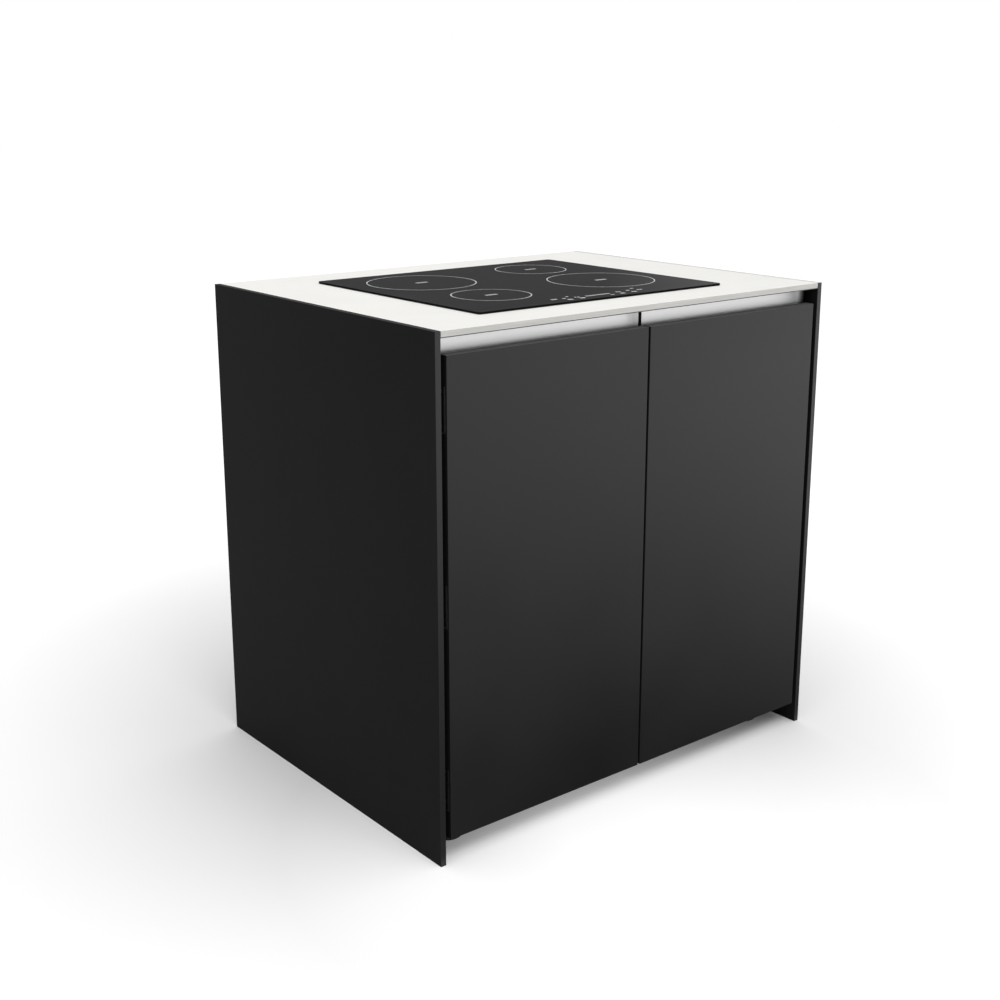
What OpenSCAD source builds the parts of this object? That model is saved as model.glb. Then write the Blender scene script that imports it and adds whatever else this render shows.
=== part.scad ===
// Free-standing two-door kitchen base unit with a four-zone induction hob.
// Millimetres. Origin on the floor at the middle of the footprint, +Z up, doors face -Y.

/* [Unit] */
// Width over both side panels
unit_w = 940; // [900:1:1100]
// Depth from the door faces to the back
unit_d = 720; // [700:1:780]
// Height of the worktop above the floor
unit_h = 930; // [900:1:960]
// Thickness of each side panel
panel_t = 11; // [9:0.5:16]
// Thickness of the rear panel
rear_panel_t = 10; // [8:0.5:14]
// Space between a side panel and the carcass
panel_gap = 10; // [8:0.5:14]
// Hairline gap where two finished panels meet
joint_gap = 0.5; // [0.2:0.1:1]

/* [Worktop] */
// Thickness of the worktop slab
worktop_t = 12; // [10:0.5:16]
// Corner radius of the cut-out for the hob
cutout_r = 10; // [6:1:15]

/* [Doors] */
// Thickness of each door
door_t = 20; // [19:0.5:22]
// Height of the doors above the floor
door_floor_gap = 45; // [40:1:60]
// Open height between the worktop and the door tops
grip_gap = 28; // [22:1:34]
// Gap between the two doors
door_gap = 5; // [3:0.5:8]
// How far each door stops short of the carcass's outer face
door_reveal = 1; // [0.5:0.5:2]
// Gap between a closed door and the carcass
door_seat_gap = 2; // [2:0.1:3]

/* [Hinges] */
// Number of hinges on each door
hinge_count = 3; // [2:1:4]
// Height of one hinge
hinge_len = 75; // [68:1:90]
// Distance from a door's end to its nearest hinge's middle
hinge_inset = 90; // [70:1:120]
// Distance from a door's outer edge to the hinge pin
hinge_edge = 5; // [5:0.1:5.4]
// Distance from a door's face to the hinge pin
hinge_depth = 10; // [9.5:0.1:11]
// Diameter of the hinge pins
hinge_pin_d = 6; // [5:0.1:6.5]
// Diameter of the hinge knuckles
knuckle_d = 10; // [9:0.1:10]
// Height of the knuckle that stands on the carcass
knuckle_h = 24; // [20:1:28]
// Width of the neck behind that knuckle
neck_w = 7; // [6:0.1:7.4]
// Thickness of the hinge leaves
leaf_t = 2.5; // [2:0.1:3]
// Width of the leaf let into a door's back
door_leaf_w = 30; // [26:1:36]

/* [Carcass] */
// Thickness of the carcass boards
board_t = 18; // [16:0.5:19]
// Thickness of the carcass back
back_board_t = 8; // [6:0.5:10]
// Depth of the grooves that hold the carcass back
groove_d = 6; // [4:0.5:8]
// Space behind the carcass back for the cable
service_gap = 32; // [25:1:40]
// Height by which the doors overlap the carcass bottom
door_overhang = 3; // [0:0.5:6]
// Width of the flat rail along the back
rear_rail_w = 60; // [50:1:64]
// Thickness of the board under the hob
shield_t = 6; // [4:0.5:8]
// Height of the space between the hob and that board
shield_gap = 28.5; // [24:0.5:32]
// Section of the battens that carry it
cleat_s = 15; // [12:1:20]
// Width of the strips between the carcass and the side panels
spacer_w = 40; // [30:1:50]

/* [Shelves] */
// Height of the shelves' undersides above the floor
shelf_h = 446; // [400:1:560]
// Set-back of the shelves from the carcass front
shelf_setback = 28; // [15:1:60]
// Diameter of the shelf pins
shelf_pin_d = 5; // [4:0.5:6]
// Length of a shelf pin that stands out of its hole
shelf_pin_out = 10; // [8:0.5:14]
// Depth of the shelf pin holes
pin_hole_depth = 8; // [6:0.5:8]
// Pitch of the shelf pin holes
pin_pitch = 32; // [24:1:40]

/* [Grip channel] */
// Thickness of the channel's metal
channel_t = 1.5; // [1:0.1:2]
// Height of the channel's back
channel_h = 56; // [50:1:60]
// Depth of the channel from front to back
channel_d = 18; // [16:1:22]
// Outer radius of the curve between its back and its ledge
cove_r = 14; // [8:0.5:15]
// Height of the lip under its front edge
channel_lip = 8; // [5:0.5:10]
// Space between a door's back and the channel
channel_gap = 6; // [5:0.5:10]
// Width of the divider between the two channels
divider_w = 6; // [4:0.5:10]
// Thickness of the end caps
cap_t = 1; // [0.8:0.1:2]

/* [Feet] */
// Distance from the carcass's outer face to a foot's middle
foot_side_inset = 57; // [50:1:90]
// Distance from the front or back of the unit to a foot's middle
foot_end_inset = 88; // [75:1:120]
// Diameter of a foot's pad
pad_d = 56; // [44:1:60]
// Diameter of the adjusting thread
foot_thread_d = 10; // [8:0.5:12]
// Height of a foot's pad
pad_h = 8; // [6:0.5:9]
// Thickness of a foot socket's flange
flange_t = 4; // [3:0.5:6]
// Diameter of a foot socket's flange
flange_d = 60; // [50:1:66]
// Length of the socket's neck under its flange
socket_neck_h = 14; // [10:0.5:16]
// Height of the socket's plug in the carcass bottom
socket_plug_h = 12; // [10:0.5:14]
// Thickness of the socket's wall
socket_wall = 7; // [5:0.5:9]

/* [Hob] */
// Width of the hob glass
hob_w = 592; // [588:1:600]
// Depth of the hob glass
hob_d = 510; // [506:1:520]
// Thickness of the hob glass
glass_t = 4; // [3:0.5:6]
// Corner radius of the hob glass
glass_r = 6; // [3:0.5:10]
// How far the glass laps over the worktop at each side
lap_side = 16; // [12:0.5:20]
// How far it laps over at the front and back
lap_end = 15; // [12:0.5:18]
// Thickness of the seal under the glass
seal_t = 0.5; // [0.3:0.1:1]
// Sideways place of the hob's middle
hob_x = -14.5; // [-30:0.5:30]
// Front to back place of the hob's middle
hob_y = -13; // [-20:0.5:0]
// Depth of the hob's casing under the glass
casing_h = 50; // [46:1:56]
// Thickness of the casing's sheet metal
casing_t = 1; // [0.8:0.1:1.5]
// Gap between the casing and the cut-out
casing_gap = 4.5; // [3:0.5:6]
// Sideways distance of the zones from the hob's middle
zone_x = 149.5; // [145:0.5:155]
// Radius of the two large zones
zone_big_r = 105; // [95:1:110]
// Radius of the two small zones
zone_small_r = 72.5; // [65:0.5:80]
// Place of the large zone at the rear left
zone_rear_left_y = 113; // [110:0.5:118]
// Place of the small zone at the front left
zone_front_left_y = -103; // [-110:0.5:-98]
// Place of the large zone at the front right
zone_front_right_y = -71.5; // [-76:0.5:-68]
// Place of the small zone at the rear right
zone_rear_right_y = 142.5; // [138:0.5:148]

/* [Hob inside] */
// Thickness of the mica sheets on the coils
mica_t = 1; // [0.5:0.1:2]
// Thickness of the coil windings
coil_t = 7; // [5:0.5:8]
// Diameter of the hole in the middle of a coil
coil_hole_d = 40; // [30:1:50]
// Thickness of the ferrite carriers
carrier_t = 5; // [4:0.5:6]
// Thickness of the plate that carries the coils
plate_t = 2; // [1.5:0.1:3]
// Diameter of the temperature sensors
sensor_d = 10; // [8:0.5:12]
// Width of the fan housing
fan_w = 92; // [84:1:96]
// Height of the fan housing
fan_h = 24; // [22:0.5:26]
// Diameter of the fan's axle
axle_d = 3; // [2.5:0.1:4]
// Number of fan blades
blade_count = 11; // [7:1:13]
// Height of the studs under the circuit boards
stud_h = 5; // [4:0.5:6]
// Thickness of the circuit boards
pcb_t = 1.6; // [1:0.1:2.4]
// Height of the heat sinks
sink_h = 20; // [15:0.5:22]
// Width of a heat sink
sink_w = 50; // [40:1:60]
// Length of a heat sink
sink_len = 150; // [120:1:200]
// Width of the touch board
touch_w = 260; // [200:1:320]
// Depth of the touch board
touch_d = 38; // [30:1:42]

/* [Cable outlet] */
// Clear diameter of the grommet
outlet_d = 50; // [40:1:56]
// Sideways place of the outlet
outlet_x = 250; // [150:1:320]
// Height of the outlet above the floor
outlet_z = 160; // [140:1:220]
// Thickness of the grommet's wall
grommet_wall = 5; // [3:0.5:7]
// Width of the grommet's flange beyond its wall
grommet_flange = 6; // [4:0.5:10]
// Thickness of the grommet's flange
grommet_flange_t = 2; // [1.5:0.1:3]

/* [Catches] */
// Width of a magnetic catch
magnet_w = 36; // [30:1:50]
// Height of a magnetic catch
magnet_h = 12; // [10:0.5:16]
// Width of the strike plate on a door
strike_w = 30; // [24:1:34]
// Diameter of the soft buffers
buffer_d = 5; // [4:0.5:5.5]

/* [Screws] */
// Diameter of the wood screws
screw_d = 4; // [3.5:0.1:4.5]
// Head diameter of the wood screws
screw_head_d = 8; // [7:0.5:9]
// Diameter of the carcass screws
carcass_screw_d = 5; // [4.5:0.1:6]
// Length of the carcass screws
carcass_screw_len = 50; // [40:1:60]

/* [Hidden] */
$fn = 64;

// Clearances
press_fit = 0.01;
run_fit = 0.04;
loose_fit = 0.05;
slip_fit = 0.1;
face_gap = 0.3;
over = 1;

// Depth of screw in a side panel, and metal left in front of a channel screw
panel_bite = 7;
channel_skin = 0.5;

// Colours
black = "#26282b";
dark_board = "#3a3d40";
white_stone = "#f1efe9";
steel = "#c9cbcc";
zinc = "#9a9ea3";

// Faces of the unit, from the outside in
front_y = -unit_d / 2;
back_y = unit_d / 2;
panel_in = unit_w / 2 - panel_t;
carcass_out = panel_in - panel_gap;
carcass_in = carcass_out - board_t;
door_out = carcass_out - door_reveal;
door_in = door_gap / 2;
door_back = front_y + door_t;
carcass_front = door_back + door_seat_gap;
carcass_rear = back_y - rear_panel_t;
back_board_rear = carcass_rear - service_gap;
back_board_front = back_board_rear - back_board_t;
partition_x = board_t / 2;

// Levels, from the top down and from the floor up
top_under = unit_h - worktop_t;
door_top = top_under - grip_gap;
carcass_z = door_floor_gap + door_overhang;
bottom_top = carcass_z + board_t;
glass_z = unit_h + seal_t;
casing_z = glass_z - casing_h;
casing_floor = casing_z + casing_t;
shield_top = casing_z - shield_gap;
shield_z = shield_top - shield_t;
back_board_rise = 3;
back_board_top = shield_top + back_board_rise;

// Grip channel
channel_front = door_back + channel_gap;
channel_back = channel_front + channel_d;
channel_z = top_under - channel_h;
notch_z = channel_z - channel_lip - joint_gap;
rail_back = channel_back + board_t;

// Hinge pins
hinge_x = door_out - hinge_edge;
hinge_y = front_y + hinge_depth;
hinge_span = door_top - door_floor_gap - 2 * hinge_inset;
hinge_levels = [for (i = [0 : hinge_count - 1])
    door_floor_gap + hinge_inset + i * hinge_span / (hinge_count - 1)];
knuckle_r = knuckle_d / 2;
pin_r = hinge_pin_d / 2;
pin_head_t = 1;
mortise_clear = 0.5;
web_w = 6.5;
seat_margin = 1;
leaf_screw_inset = 9;
leaf_screw_z = hinge_len / 2 - leaf_screw_inset;
leaf_screw_u = web_w + door_leaf_w / 2;
frame_screw_len = 30;
door_screw_len = 13;
frame_leaf_x = (carcass_in + carcass_out) / 2;

// Catches, fixed under the shield beside the partition
magnet_face = carcass_front - face_gap;
magnet_depth = 18;
strike_h = magnet_h + 2;
strike_margin = (magnet_w - strike_w) / 2;

// Screw rows in the carcass
panel_screw_len = board_t + panel_gap + panel_bite;
channel_screw_len = board_t + channel_t - channel_skin;
spacer_front_inset = 70;
spacer_rear_inset = 40;
spacer_rows = [carcass_front + spacer_front_inset, 0, back_board_front - spacer_rear_inset];
spacer_screw_rise = 100;
spacer_screw_drop = 46;
spacer_screw_levels = [carcass_z + spacer_screw_rise, shield_z - spacer_screw_drop];
side_screw_rows = [-150, 150];
partition_screw_rows = [-200, 0, 200];
rear_screw_rise = 52;
rear_screw_drop = 58;
rear_screw_levels = [carcass_z + rear_screw_rise, (carcass_z + top_under) / 2,
    top_under - rear_screw_drop];
rear_screw_len = 35;
rear_rail_front = carcass_rear - rear_rail_w;
rail_screw_front_inset = 10;
rail_screw_rear_inset = 12;
rear_rail_rows = [rear_rail_front + rail_screw_front_inset, carcass_rear - rail_screw_rear_inset];
front_rail_screw_rise = 30;
channel_screw_spots = [for (k = [1, 3, 5]) k * carcass_out / 6];
channel_screw_level = (channel_z + top_under) / 2;

// Room in front of the board under the hob, and past the ends of its battens and the shelves
shield_front_gap = 2;
cleat_front_inset = 40;
cleat_rear_inset = 20;
shelf_side_gap = 1;
shelf_rear_gap = 5;

// Buffers: height over the carcass bottom, drop under the board, and distance from the edge
buffer_rise = 54;
buffer_drop = 66;
buffer_edge = 0.5;

// Shelf pins
pin_rows = [-230, 230];
pin_level = shelf_h - shelf_pin_d / 2;

// Feet and grommet
foot_x = carcass_out - foot_side_inset;
foot_y = unit_d / 2 - foot_end_inset;
socket_neck_z = carcass_z - flange_t - socket_neck_h;
socket_plug_r = foot_thread_d / 2 + socket_wall + 2;
foot_collar_r = foot_thread_d / 2 + 4;
foot_collar_z = pad_h + 7;
foot_nut_h = 8;
foot_nut_sink = 1;
grommet_r = outlet_d / 2 + grommet_wall;

// Hob
cutout_w = hob_w - 2 * lap_side;
cutout_d = hob_d - 2 * lap_end;
casing_w = cutout_w - 2 * casing_gap;
casing_d = cutout_d - 2 * casing_gap;
inner_w = casing_w - 2 * casing_t;
inner_d = casing_d - 2 * casing_t;
mica_z = glass_z - mica_t;
coil_z = mica_z - coil_t;
carrier_z = coil_z - carrier_t;
plate_z = carrier_z - plate_t;
zones = [
    [-zone_x, zone_rear_left_y, zone_big_r],
    [-zone_x, zone_front_left_y, zone_small_r],
    [zone_x, zone_front_right_y, zone_big_r],
    [zone_x, zone_rear_right_y, zone_small_r]];
sensor_hole_d = sensor_d + 6;
seal_inset = 1.5;
seal_set_back = 2;
stud_d = 6;
stud_inset = 10;
vent_w = 8;
vent_h = 20;
vent_pitch = 20;
vent_rise = 20;
plate_play = 2;
carrier_edge = 3;
mica_edge = 4;
coil_edge = 5;
touch_wall_gap = 5;
sink_inset = 20;
terminal_w = 50;
terminal_d = 28;
terminal_h = 22;
terminal_wall_gap = 22;
board_x0 = 62;
board_w = 180;
board_d = 260;
clip_row = casing_d / 4;
clip_w = 20;
clip_drop = 18;
clip_reach = 9;
fan_wall_gap = 104.5;
fan_y = inner_d / 2 - fan_wall_gap;
fan_cavity_r = fan_w / 2 - 5;
rotor_r = fan_cavity_r - 2.5;
inlet_r = 26;
hub_r = 8;
hub_top = casing_floor + 5;
rotor_z = hub_top + face_gap;
rotor_h = fan_h - 9;
fan_floor = 2;
fan_spoke_w = 4;
fan_axle_drop = 2;
fan_mouth_w = 40;
fan_mouth_depth = 30;
fan_mouth_rise = 5;
fan_mouth_drop = 3;
gland_x = 200;
gland_z = casing_floor + 12;
gland_r = 10;
gland_nut_r = 11;
gland_bore_r = 5.5;
gland_inner = 8;
gland_outer = 4;
gland_nut_h = 4;
gland_cap_h = 14;

// Box between two corners
module box(lo, hi) {
    translate(lo) cube(hi - lo);
}

// The shape and its mirror image on the other side
module both_sides() {
    children();
    mirror([1, 0, 0]) children();
}

// Flat outline with round corners
module rounded(w, d, r) {
    square([w - 2 * r, d], center = true);
    square([w, d - 2 * r], center = true);
    for (sx = [-1, 1], sy = [-1, 1])
        translate([sx * (w / 2 - r), sy * (d / 2 - r)]) circle(r);
}

// Countersunk screw that points down from its flat head
module screw(length, d, head_d) {
    sink = (head_d - d) / 2;
    rotate_extrude() polygon([[0, -length], [d / 2, -length], [d / 2, -sink], [head_d / 2, 0], [0, 0]]);
}

// Hole for that screw, open above its head
module screw_hole(length, d, head_d) {
    sink = (head_d - d) / 2;
    r = d / 2 + loose_fit;
    head_r = head_d / 2 + loose_fit;
    rotate_extrude() polygon([[0, -length - loose_fit], [r, -length - loose_fit], [r, -sink],
        [head_r, 0], [head_r, over], [0, over]]);
}

// Finished panels

module side_panel() {
    difference() {
        box([panel_in, front_y, 0], [unit_w / 2, back_y, unit_h]);
        panel_screw_places() screw_hole(panel_screw_len, screw_d, screw_head_d);
    }
}

module side_panel_left() {
    color(black) mirror([1, 0, 0]) side_panel();
}

module side_panel_right() {
    color(black) side_panel();
}

module rear_panel() {
    color(black) difference() {
        box([-panel_in + joint_gap, carcass_rear, carcass_z], [panel_in - joint_gap, back_y, top_under]);
        rear_screw_places() screw_hole(rear_screw_len, screw_d, screw_head_d);
        translate([outlet_x, back_y + over, outlet_z]) rotate([90, 0, 0]) {
            cylinder(h = 2 * over + rear_panel_t, r = grommet_r + slip_fit);
            cylinder(h = over + grommet_flange_t, r = grommet_r + grommet_flange + slip_fit);
        }
    }
}

module worktop() {
    color(white_stone) difference() {
        box([-panel_in + joint_gap, front_y, top_under], [panel_in - joint_gap, back_y, unit_h]);
        translate([hob_x, hob_y, top_under - over])
            linear_extrude(worktop_t + 2 * over) rounded(cutout_w, cutout_d, cutout_r);
    }
}

// Carcass

module carcass_side() {
    difference() {
        box([carcass_in, carcass_front, carcass_z], [carcass_out, carcass_rear, top_under]);
        box([carcass_in - over, carcass_front - over, notch_z],
            [carcass_out + over, channel_back, top_under + over]);
        box([carcass_in - over, back_board_front - slip_fit, carcass_z - over],
            [carcass_in + groove_d + slip_fit, back_board_rear + slip_fit, top_under + over]);
        hinge_places() frame_leaf_seat();
        frame_screw_places() screw_hole(frame_screw_len, screw_d, screw_head_d);
        panel_screw_places() screw_hole(panel_screw_len, screw_d, screw_head_d);
        carcass_screw_places() carcass_screw_hole();
        rear_screw_places() screw_hole(rear_screw_len, screw_d, screw_head_d);
        shelf_pin_columns() translate([carcass_in - over, 0, 0]) rotate([0, 90, 0])
            cylinder(h = over + pin_hole_depth + slip_fit, d = shelf_pin_d + 2 * loose_fit);
    }
}

module carcass_side_left() {
    color(dark_board) mirror([1, 0, 0]) carcass_side();
}

module carcass_side_right() {
    color(dark_board) carcass_side();
}

module carcass_bottom() {
    color(dark_board) difference() {
        box([-carcass_in, carcass_front, carcass_z], [carcass_in, back_board_rear, bottom_top]);
        both_sides() carcass_screw_places() carcass_screw_hole();
        partition_screw_places() carcass_screw_hole();
        foot_places() translate([0, 0, carcass_z - over])
            cylinder(h = over + socket_plug_h + slip_fit, r = socket_plug_r + loose_fit);
    }
}

module carcass_back() {
    color(dark_board)
        box([-carcass_in - groove_d, back_board_front, bottom_top],
            [carcass_in + groove_d, back_board_rear, back_board_top]);
}

module centre_partition() {
    color(dark_board) difference() {
        box([-partition_x, carcass_front, bottom_top], [partition_x, back_board_front, shield_z]);
        partition_screw_places() carcass_screw_hole();
        both_sides() shelf_pin_columns() translate([partition_x + over, 0, 0]) rotate([0, -90, 0])
            cylinder(h = over + pin_hole_depth + slip_fit, d = shelf_pin_d + 2 * loose_fit);
    }
}

module front_rail() {
    color(dark_board) difference() {
        box([-carcass_in, channel_back, shield_top], [carcass_in, rail_back, top_under]);
        both_sides() carcass_screw_places() carcass_screw_hole();
        both_sides() channel_screw_places() screw_hole(channel_screw_len, screw_d, screw_head_d);
    }
}

module rear_rail() {
    color(dark_board) difference() {
        box([-carcass_in, rear_rail_front, top_under - board_t], [carcass_in, carcass_rear, top_under]);
        both_sides() carcass_screw_places() carcass_screw_hole();
    }
}

module heat_shield() {
    color("#8d8f90")
        box([-carcass_in + joint_gap, carcass_front + shield_front_gap, shield_z],
            [carcass_in - joint_gap, back_board_front - joint_gap, shield_top]);
}

module shield_cleats() {
    color(dark_board) both_sides()
        box([carcass_in - cleat_s, carcass_front + cleat_front_inset, shield_z - cleat_s],
            [carcass_in, back_board_front - cleat_rear_inset, shield_z]);
}

module panel_spacers() {
    color(black) both_sides() difference() {
        for (y = spacer_rows)
            box([carcass_out, y - spacer_w / 2, bottom_top], [panel_in, y + spacer_w / 2, top_under]);
        panel_screw_places() screw_hole(panel_screw_len, screw_d, screw_head_d);
    }
}

// Shelves

module shelf() {
    box([partition_x + shelf_side_gap, carcass_front + shelf_setback, shelf_h],
        [carcass_in - shelf_side_gap, back_board_front - shelf_rear_gap, shelf_h + board_t]);
}

module shelf_left() {
    color(dark_board) mirror([1, 0, 0]) shelf();
}

module shelf_right() {
    color(dark_board) shelf();
}

// Rows of pin holes at three heights, on the plane where x is zero
module shelf_pin_columns() {
    for (y = pin_rows, k = [-1 : 1])
        translate([0, y, pin_level + k * pin_pitch]) children();
}

module shelf_pins() {
    pin_len = pin_hole_depth + shelf_pin_out;
    color(zinc) both_sides() for (y = pin_rows) {
        translate([carcass_in + pin_hole_depth - pin_len, y, pin_level]) rotate([0, 90, 0])
            cylinder(h = pin_len, d = shelf_pin_d);
        translate([partition_x - pin_hole_depth, y, pin_level]) rotate([0, 90, 0])
            cylinder(h = pin_len, d = shelf_pin_d);
    }
}

// Grip channel

// Section through the channel, y to the right and z up
module channel_section() {
    inner_r = cove_r - channel_t;
    translate([channel_back - channel_t, channel_z + cove_r]) square([channel_t, channel_h - cove_r]);
    translate([channel_front, channel_z]) square([channel_d - cove_r, channel_t]);
    translate([channel_front, channel_z - channel_lip]) square([channel_t, channel_lip + channel_t]);
    intersection() {
        translate([channel_back - cove_r, channel_z + cove_r]) difference() {
            circle(cove_r);
            circle(inner_r);
        }
        translate([channel_back - cove_r, channel_z]) square(cove_r);
    }
}

// Sheet that closes the end of the channel's hollow
module cap_section() {
    inner_r = cove_r - channel_t - slip_fit;
    room_back = channel_back - channel_t - slip_fit;
    room_z = channel_z + channel_t + slip_fit;
    difference() {
        translate([channel_front, room_z]) square([room_back - channel_front, top_under - room_z]);
        difference() {
            translate([room_back - inner_r, room_z - over]) square([inner_r + over, inner_r + over]);
            translate([room_back - inner_r, room_z + inner_r]) circle(inner_r);
        }
    }
}

// A flat section in y and z, pulled along x
module along_x(x0, x1) {
    translate([x0, 0, 0]) rotate([90, 0, 90]) linear_extrude(x1 - x0) children();
}

module grip_channel() {
    difference() {
        along_x(divider_w / 2, carcass_out) channel_section();
        channel_screw_places() screw_hole(channel_screw_len, screw_d, screw_head_d);
    }
}

module grip_channel_left() {
    color(steel) mirror([1, 0, 0]) grip_channel();
}

module grip_channel_right() {
    color(steel) grip_channel();
}

module channel_end_caps() {
    color(steel) both_sides() {
        along_x(divider_w / 2, divider_w / 2 + cap_t) cap_section();
        along_x(carcass_out - cap_t, carcass_out) cap_section();
    }
}

module channel_divider() {
    color(black)
        box([-divider_w / 2 + slip_fit, channel_front, channel_z - channel_lip],
            [divider_w / 2 - slip_fit, channel_back, top_under]);
}

module channel_screw_places() {
    for (x = channel_screw_spots)
        translate([x, rail_back, channel_screw_level]) rotate([-90, 0, 0]) children();
}

module channel_screws() {
    color(zinc) both_sides() channel_screw_places() screw(channel_screw_len, screw_d, screw_head_d);
}

// Hinges, drawn for the right-hand door

module hinge_places() {
    for (z = hinge_levels) translate([0, 0, z]) children();
}

module frame_leaf_seat() {
    box([carcass_in + seat_margin - slip_fit, carcass_front - over, -hinge_len / 2 - slip_fit],
        [carcass_out - seat_margin + slip_fit, carcass_front + leaf_t, hinge_len / 2 + slip_fit]);
}

module frame_screw_places() {
    hinge_places() for (s = [-1, 1])
        translate([frame_leaf_x, carcass_front, s * leaf_screw_z]) rotate([90, 0, 0]) children();
}

module frame_leaves() {
    color(black) both_sides() difference() {
        hinge_places() {
            box([carcass_in + seat_margin, carcass_front, -hinge_len / 2],
                [carcass_out - seat_margin, carcass_front + leaf_t, hinge_len / 2]);
            box([hinge_x - neck_w / 2, hinge_y, -knuckle_h / 2],
                [hinge_x + neck_w / 2, carcass_front, knuckle_h / 2]);
            translate([hinge_x, hinge_y, -knuckle_h / 2]) cylinder(h = knuckle_h, r = knuckle_r);
        }
        hinge_places() translate([hinge_x, hinge_y, -knuckle_h / 2 - over])
            cylinder(h = knuckle_h + 2 * over, r = pin_r + run_fit);
        frame_screw_places() screw_hole(frame_screw_len, screw_d, screw_head_d);
    }
}

module frame_leaf_screws() {
    color(zinc) both_sides() frame_screw_places() screw(frame_screw_len, screw_d, screw_head_d);
}

// Space cut into a door for one hinge
module hinge_mortise() {
    half = hinge_len / 2 + pin_head_t + mortise_clear;
    box([hinge_x - web_w - slip_fit, hinge_y - knuckle_r - mortise_clear, -half],
        [door_out + over, door_back + over, half]);
    box([hinge_x - web_w - door_leaf_w - slip_fit, door_back - leaf_t, -hinge_len / 2 - slip_fit],
        [hinge_x, door_back + over, hinge_len / 2 + slip_fit]);
}

module door_screw_places() {
    hinge_places() for (s = [-1, 1])
        translate([hinge_x - leaf_screw_u, door_back, s * leaf_screw_z]) rotate([-90, 0, 0]) children();
}

module door_leaves() {
    low = knuckle_h / 2 + face_gap;
    high = hinge_len / 2;
    color(black) difference() {
        hinge_places() {
            box([hinge_x - web_w - door_leaf_w, door_back - leaf_t, -high],
                [hinge_x - web_w, door_back, high]);
            for (z = [low, -high]) {
                box([hinge_x - web_w, hinge_y, z], [hinge_x, door_back, z + high - low]);
                translate([hinge_x, hinge_y, z]) cylinder(h = high - low, r = knuckle_r);
            }
        }
        hinge_places() translate([hinge_x, hinge_y, -high - over])
            cylinder(h = 2 * (high + over), r = pin_r + press_fit);
        door_screw_places() screw_hole(door_screw_len, screw_d, screw_head_d);
    }
}

module hinge_pins() {
    high = hinge_len / 2;
    color(black) hinge_places() translate([hinge_x, hinge_y, 0]) rotate_extrude()
        polygon([[0, -high - pin_head_t], [pin_r + 1, -high - pin_head_t], [pin_r + 1, -high],
            [pin_r, -high], [pin_r, high], [pin_r + 1, high], [pin_r + 1, high + pin_head_t],
            [0, high + pin_head_t]]);
}

module leaf_screws() {
    color(zinc) door_screw_places() screw(door_screw_len, screw_d, screw_head_d);
}

// Doors

module door() {
    color(black) difference() {
        box([door_in, front_y, door_floor_gap], [door_out, door_back, door_top]);
        hinge_places() hinge_mortise();
        door_screw_places() screw_hole(door_screw_len, screw_d, screw_head_d);
    }
}

module door_left() {
    mirror([1, 0, 0]) door();
}

module door_right() {
    door();
}

module door_leaves_left() {
    mirror([1, 0, 0]) door_leaves();
}

module door_leaves_right() {
    door_leaves();
}

module hinge_pins_left() {
    mirror([1, 0, 0]) hinge_pins();
}

module hinge_pins_right() {
    hinge_pins();
}

module leaf_screws_left() {
    mirror([1, 0, 0]) leaf_screws();
}

module leaf_screws_right() {
    leaf_screws();
}

// Thin plate on the door's back that the magnet holds
module strike_plate() {
    color(black)
        box([partition_x + strike_margin, door_back, shield_z - strike_h],
            [partition_x + strike_margin + strike_w, magnet_face - face_gap, shield_z]);
}

module strike_plate_left() {
    mirror([1, 0, 0]) strike_plate();
}

module strike_plate_right() {
    strike_plate();
}

module door_magnets() {
    color(dark_board) both_sides()
        box([partition_x, magnet_face, shield_z - magnet_h],
            [partition_x + magnet_w, magnet_face + magnet_depth, shield_z]);
}

module door_buffers() {
    color("#c8ccd0") both_sides() for (z = [bottom_top + buffer_rise, shield_z - buffer_drop])
        translate([partition_x - buffer_d / 2 - buffer_edge, carcass_front, z]) rotate([90, 0, 0])
            cylinder(h = door_seat_gap - face_gap, d = buffer_d);
}

// Screws that hold the boards and panels

module carcass_screw() {
    screw(carcass_screw_len, carcass_screw_d, 2 * carcass_screw_d);
}

module carcass_screw_hole() {
    screw_hole(carcass_screw_len, carcass_screw_d, 2 * carcass_screw_d);
}

// Through the right-hand side into the bottom and both rails
module carcass_screw_places() {
    for (y = side_screw_rows)
        translate([carcass_out, y, carcass_z + board_t / 2]) rotate([0, 90, 0]) children();
    translate([carcass_out, channel_back + board_t / 2, shield_top + front_rail_screw_rise])
        rotate([0, 90, 0]) children();
    for (y = rear_rail_rows)
        translate([carcass_out, y, top_under - board_t / 2]) rotate([0, 90, 0]) children();
}

module partition_screw_places() {
    for (y = partition_screw_rows) translate([0, y, carcass_z]) rotate([180, 0, 0]) children();
}

module carcass_screws() {
    color(zinc) {
        both_sides() carcass_screw_places() carcass_screw();
        partition_screw_places() carcass_screw();
    }
}

// From inside the right-hand cupboard through a strip into the side panel
module panel_screw_places() {
    for (y = spacer_rows, z = spacer_screw_levels)
        translate([carcass_in, y, z]) rotate([0, -90, 0]) children();
}

module rear_screw_places() {
    for (s = [-1, 1], z = rear_screw_levels)
        translate([s * (carcass_in + carcass_out) / 2, back_y, z]) rotate([-90, 0, 0]) children();
}

module panel_screws() {
    color(zinc) {
        both_sides() panel_screw_places() screw(panel_screw_len, screw_d, screw_head_d);
        rear_screw_places() screw(rear_screw_len, screw_d, screw_head_d);
    }
}

// Feet

module foot_places() {
    for (sx = [-1, 1], sy = [-1, 1]) translate([sx * foot_x, sy * foot_y, 0]) children();
}

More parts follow.
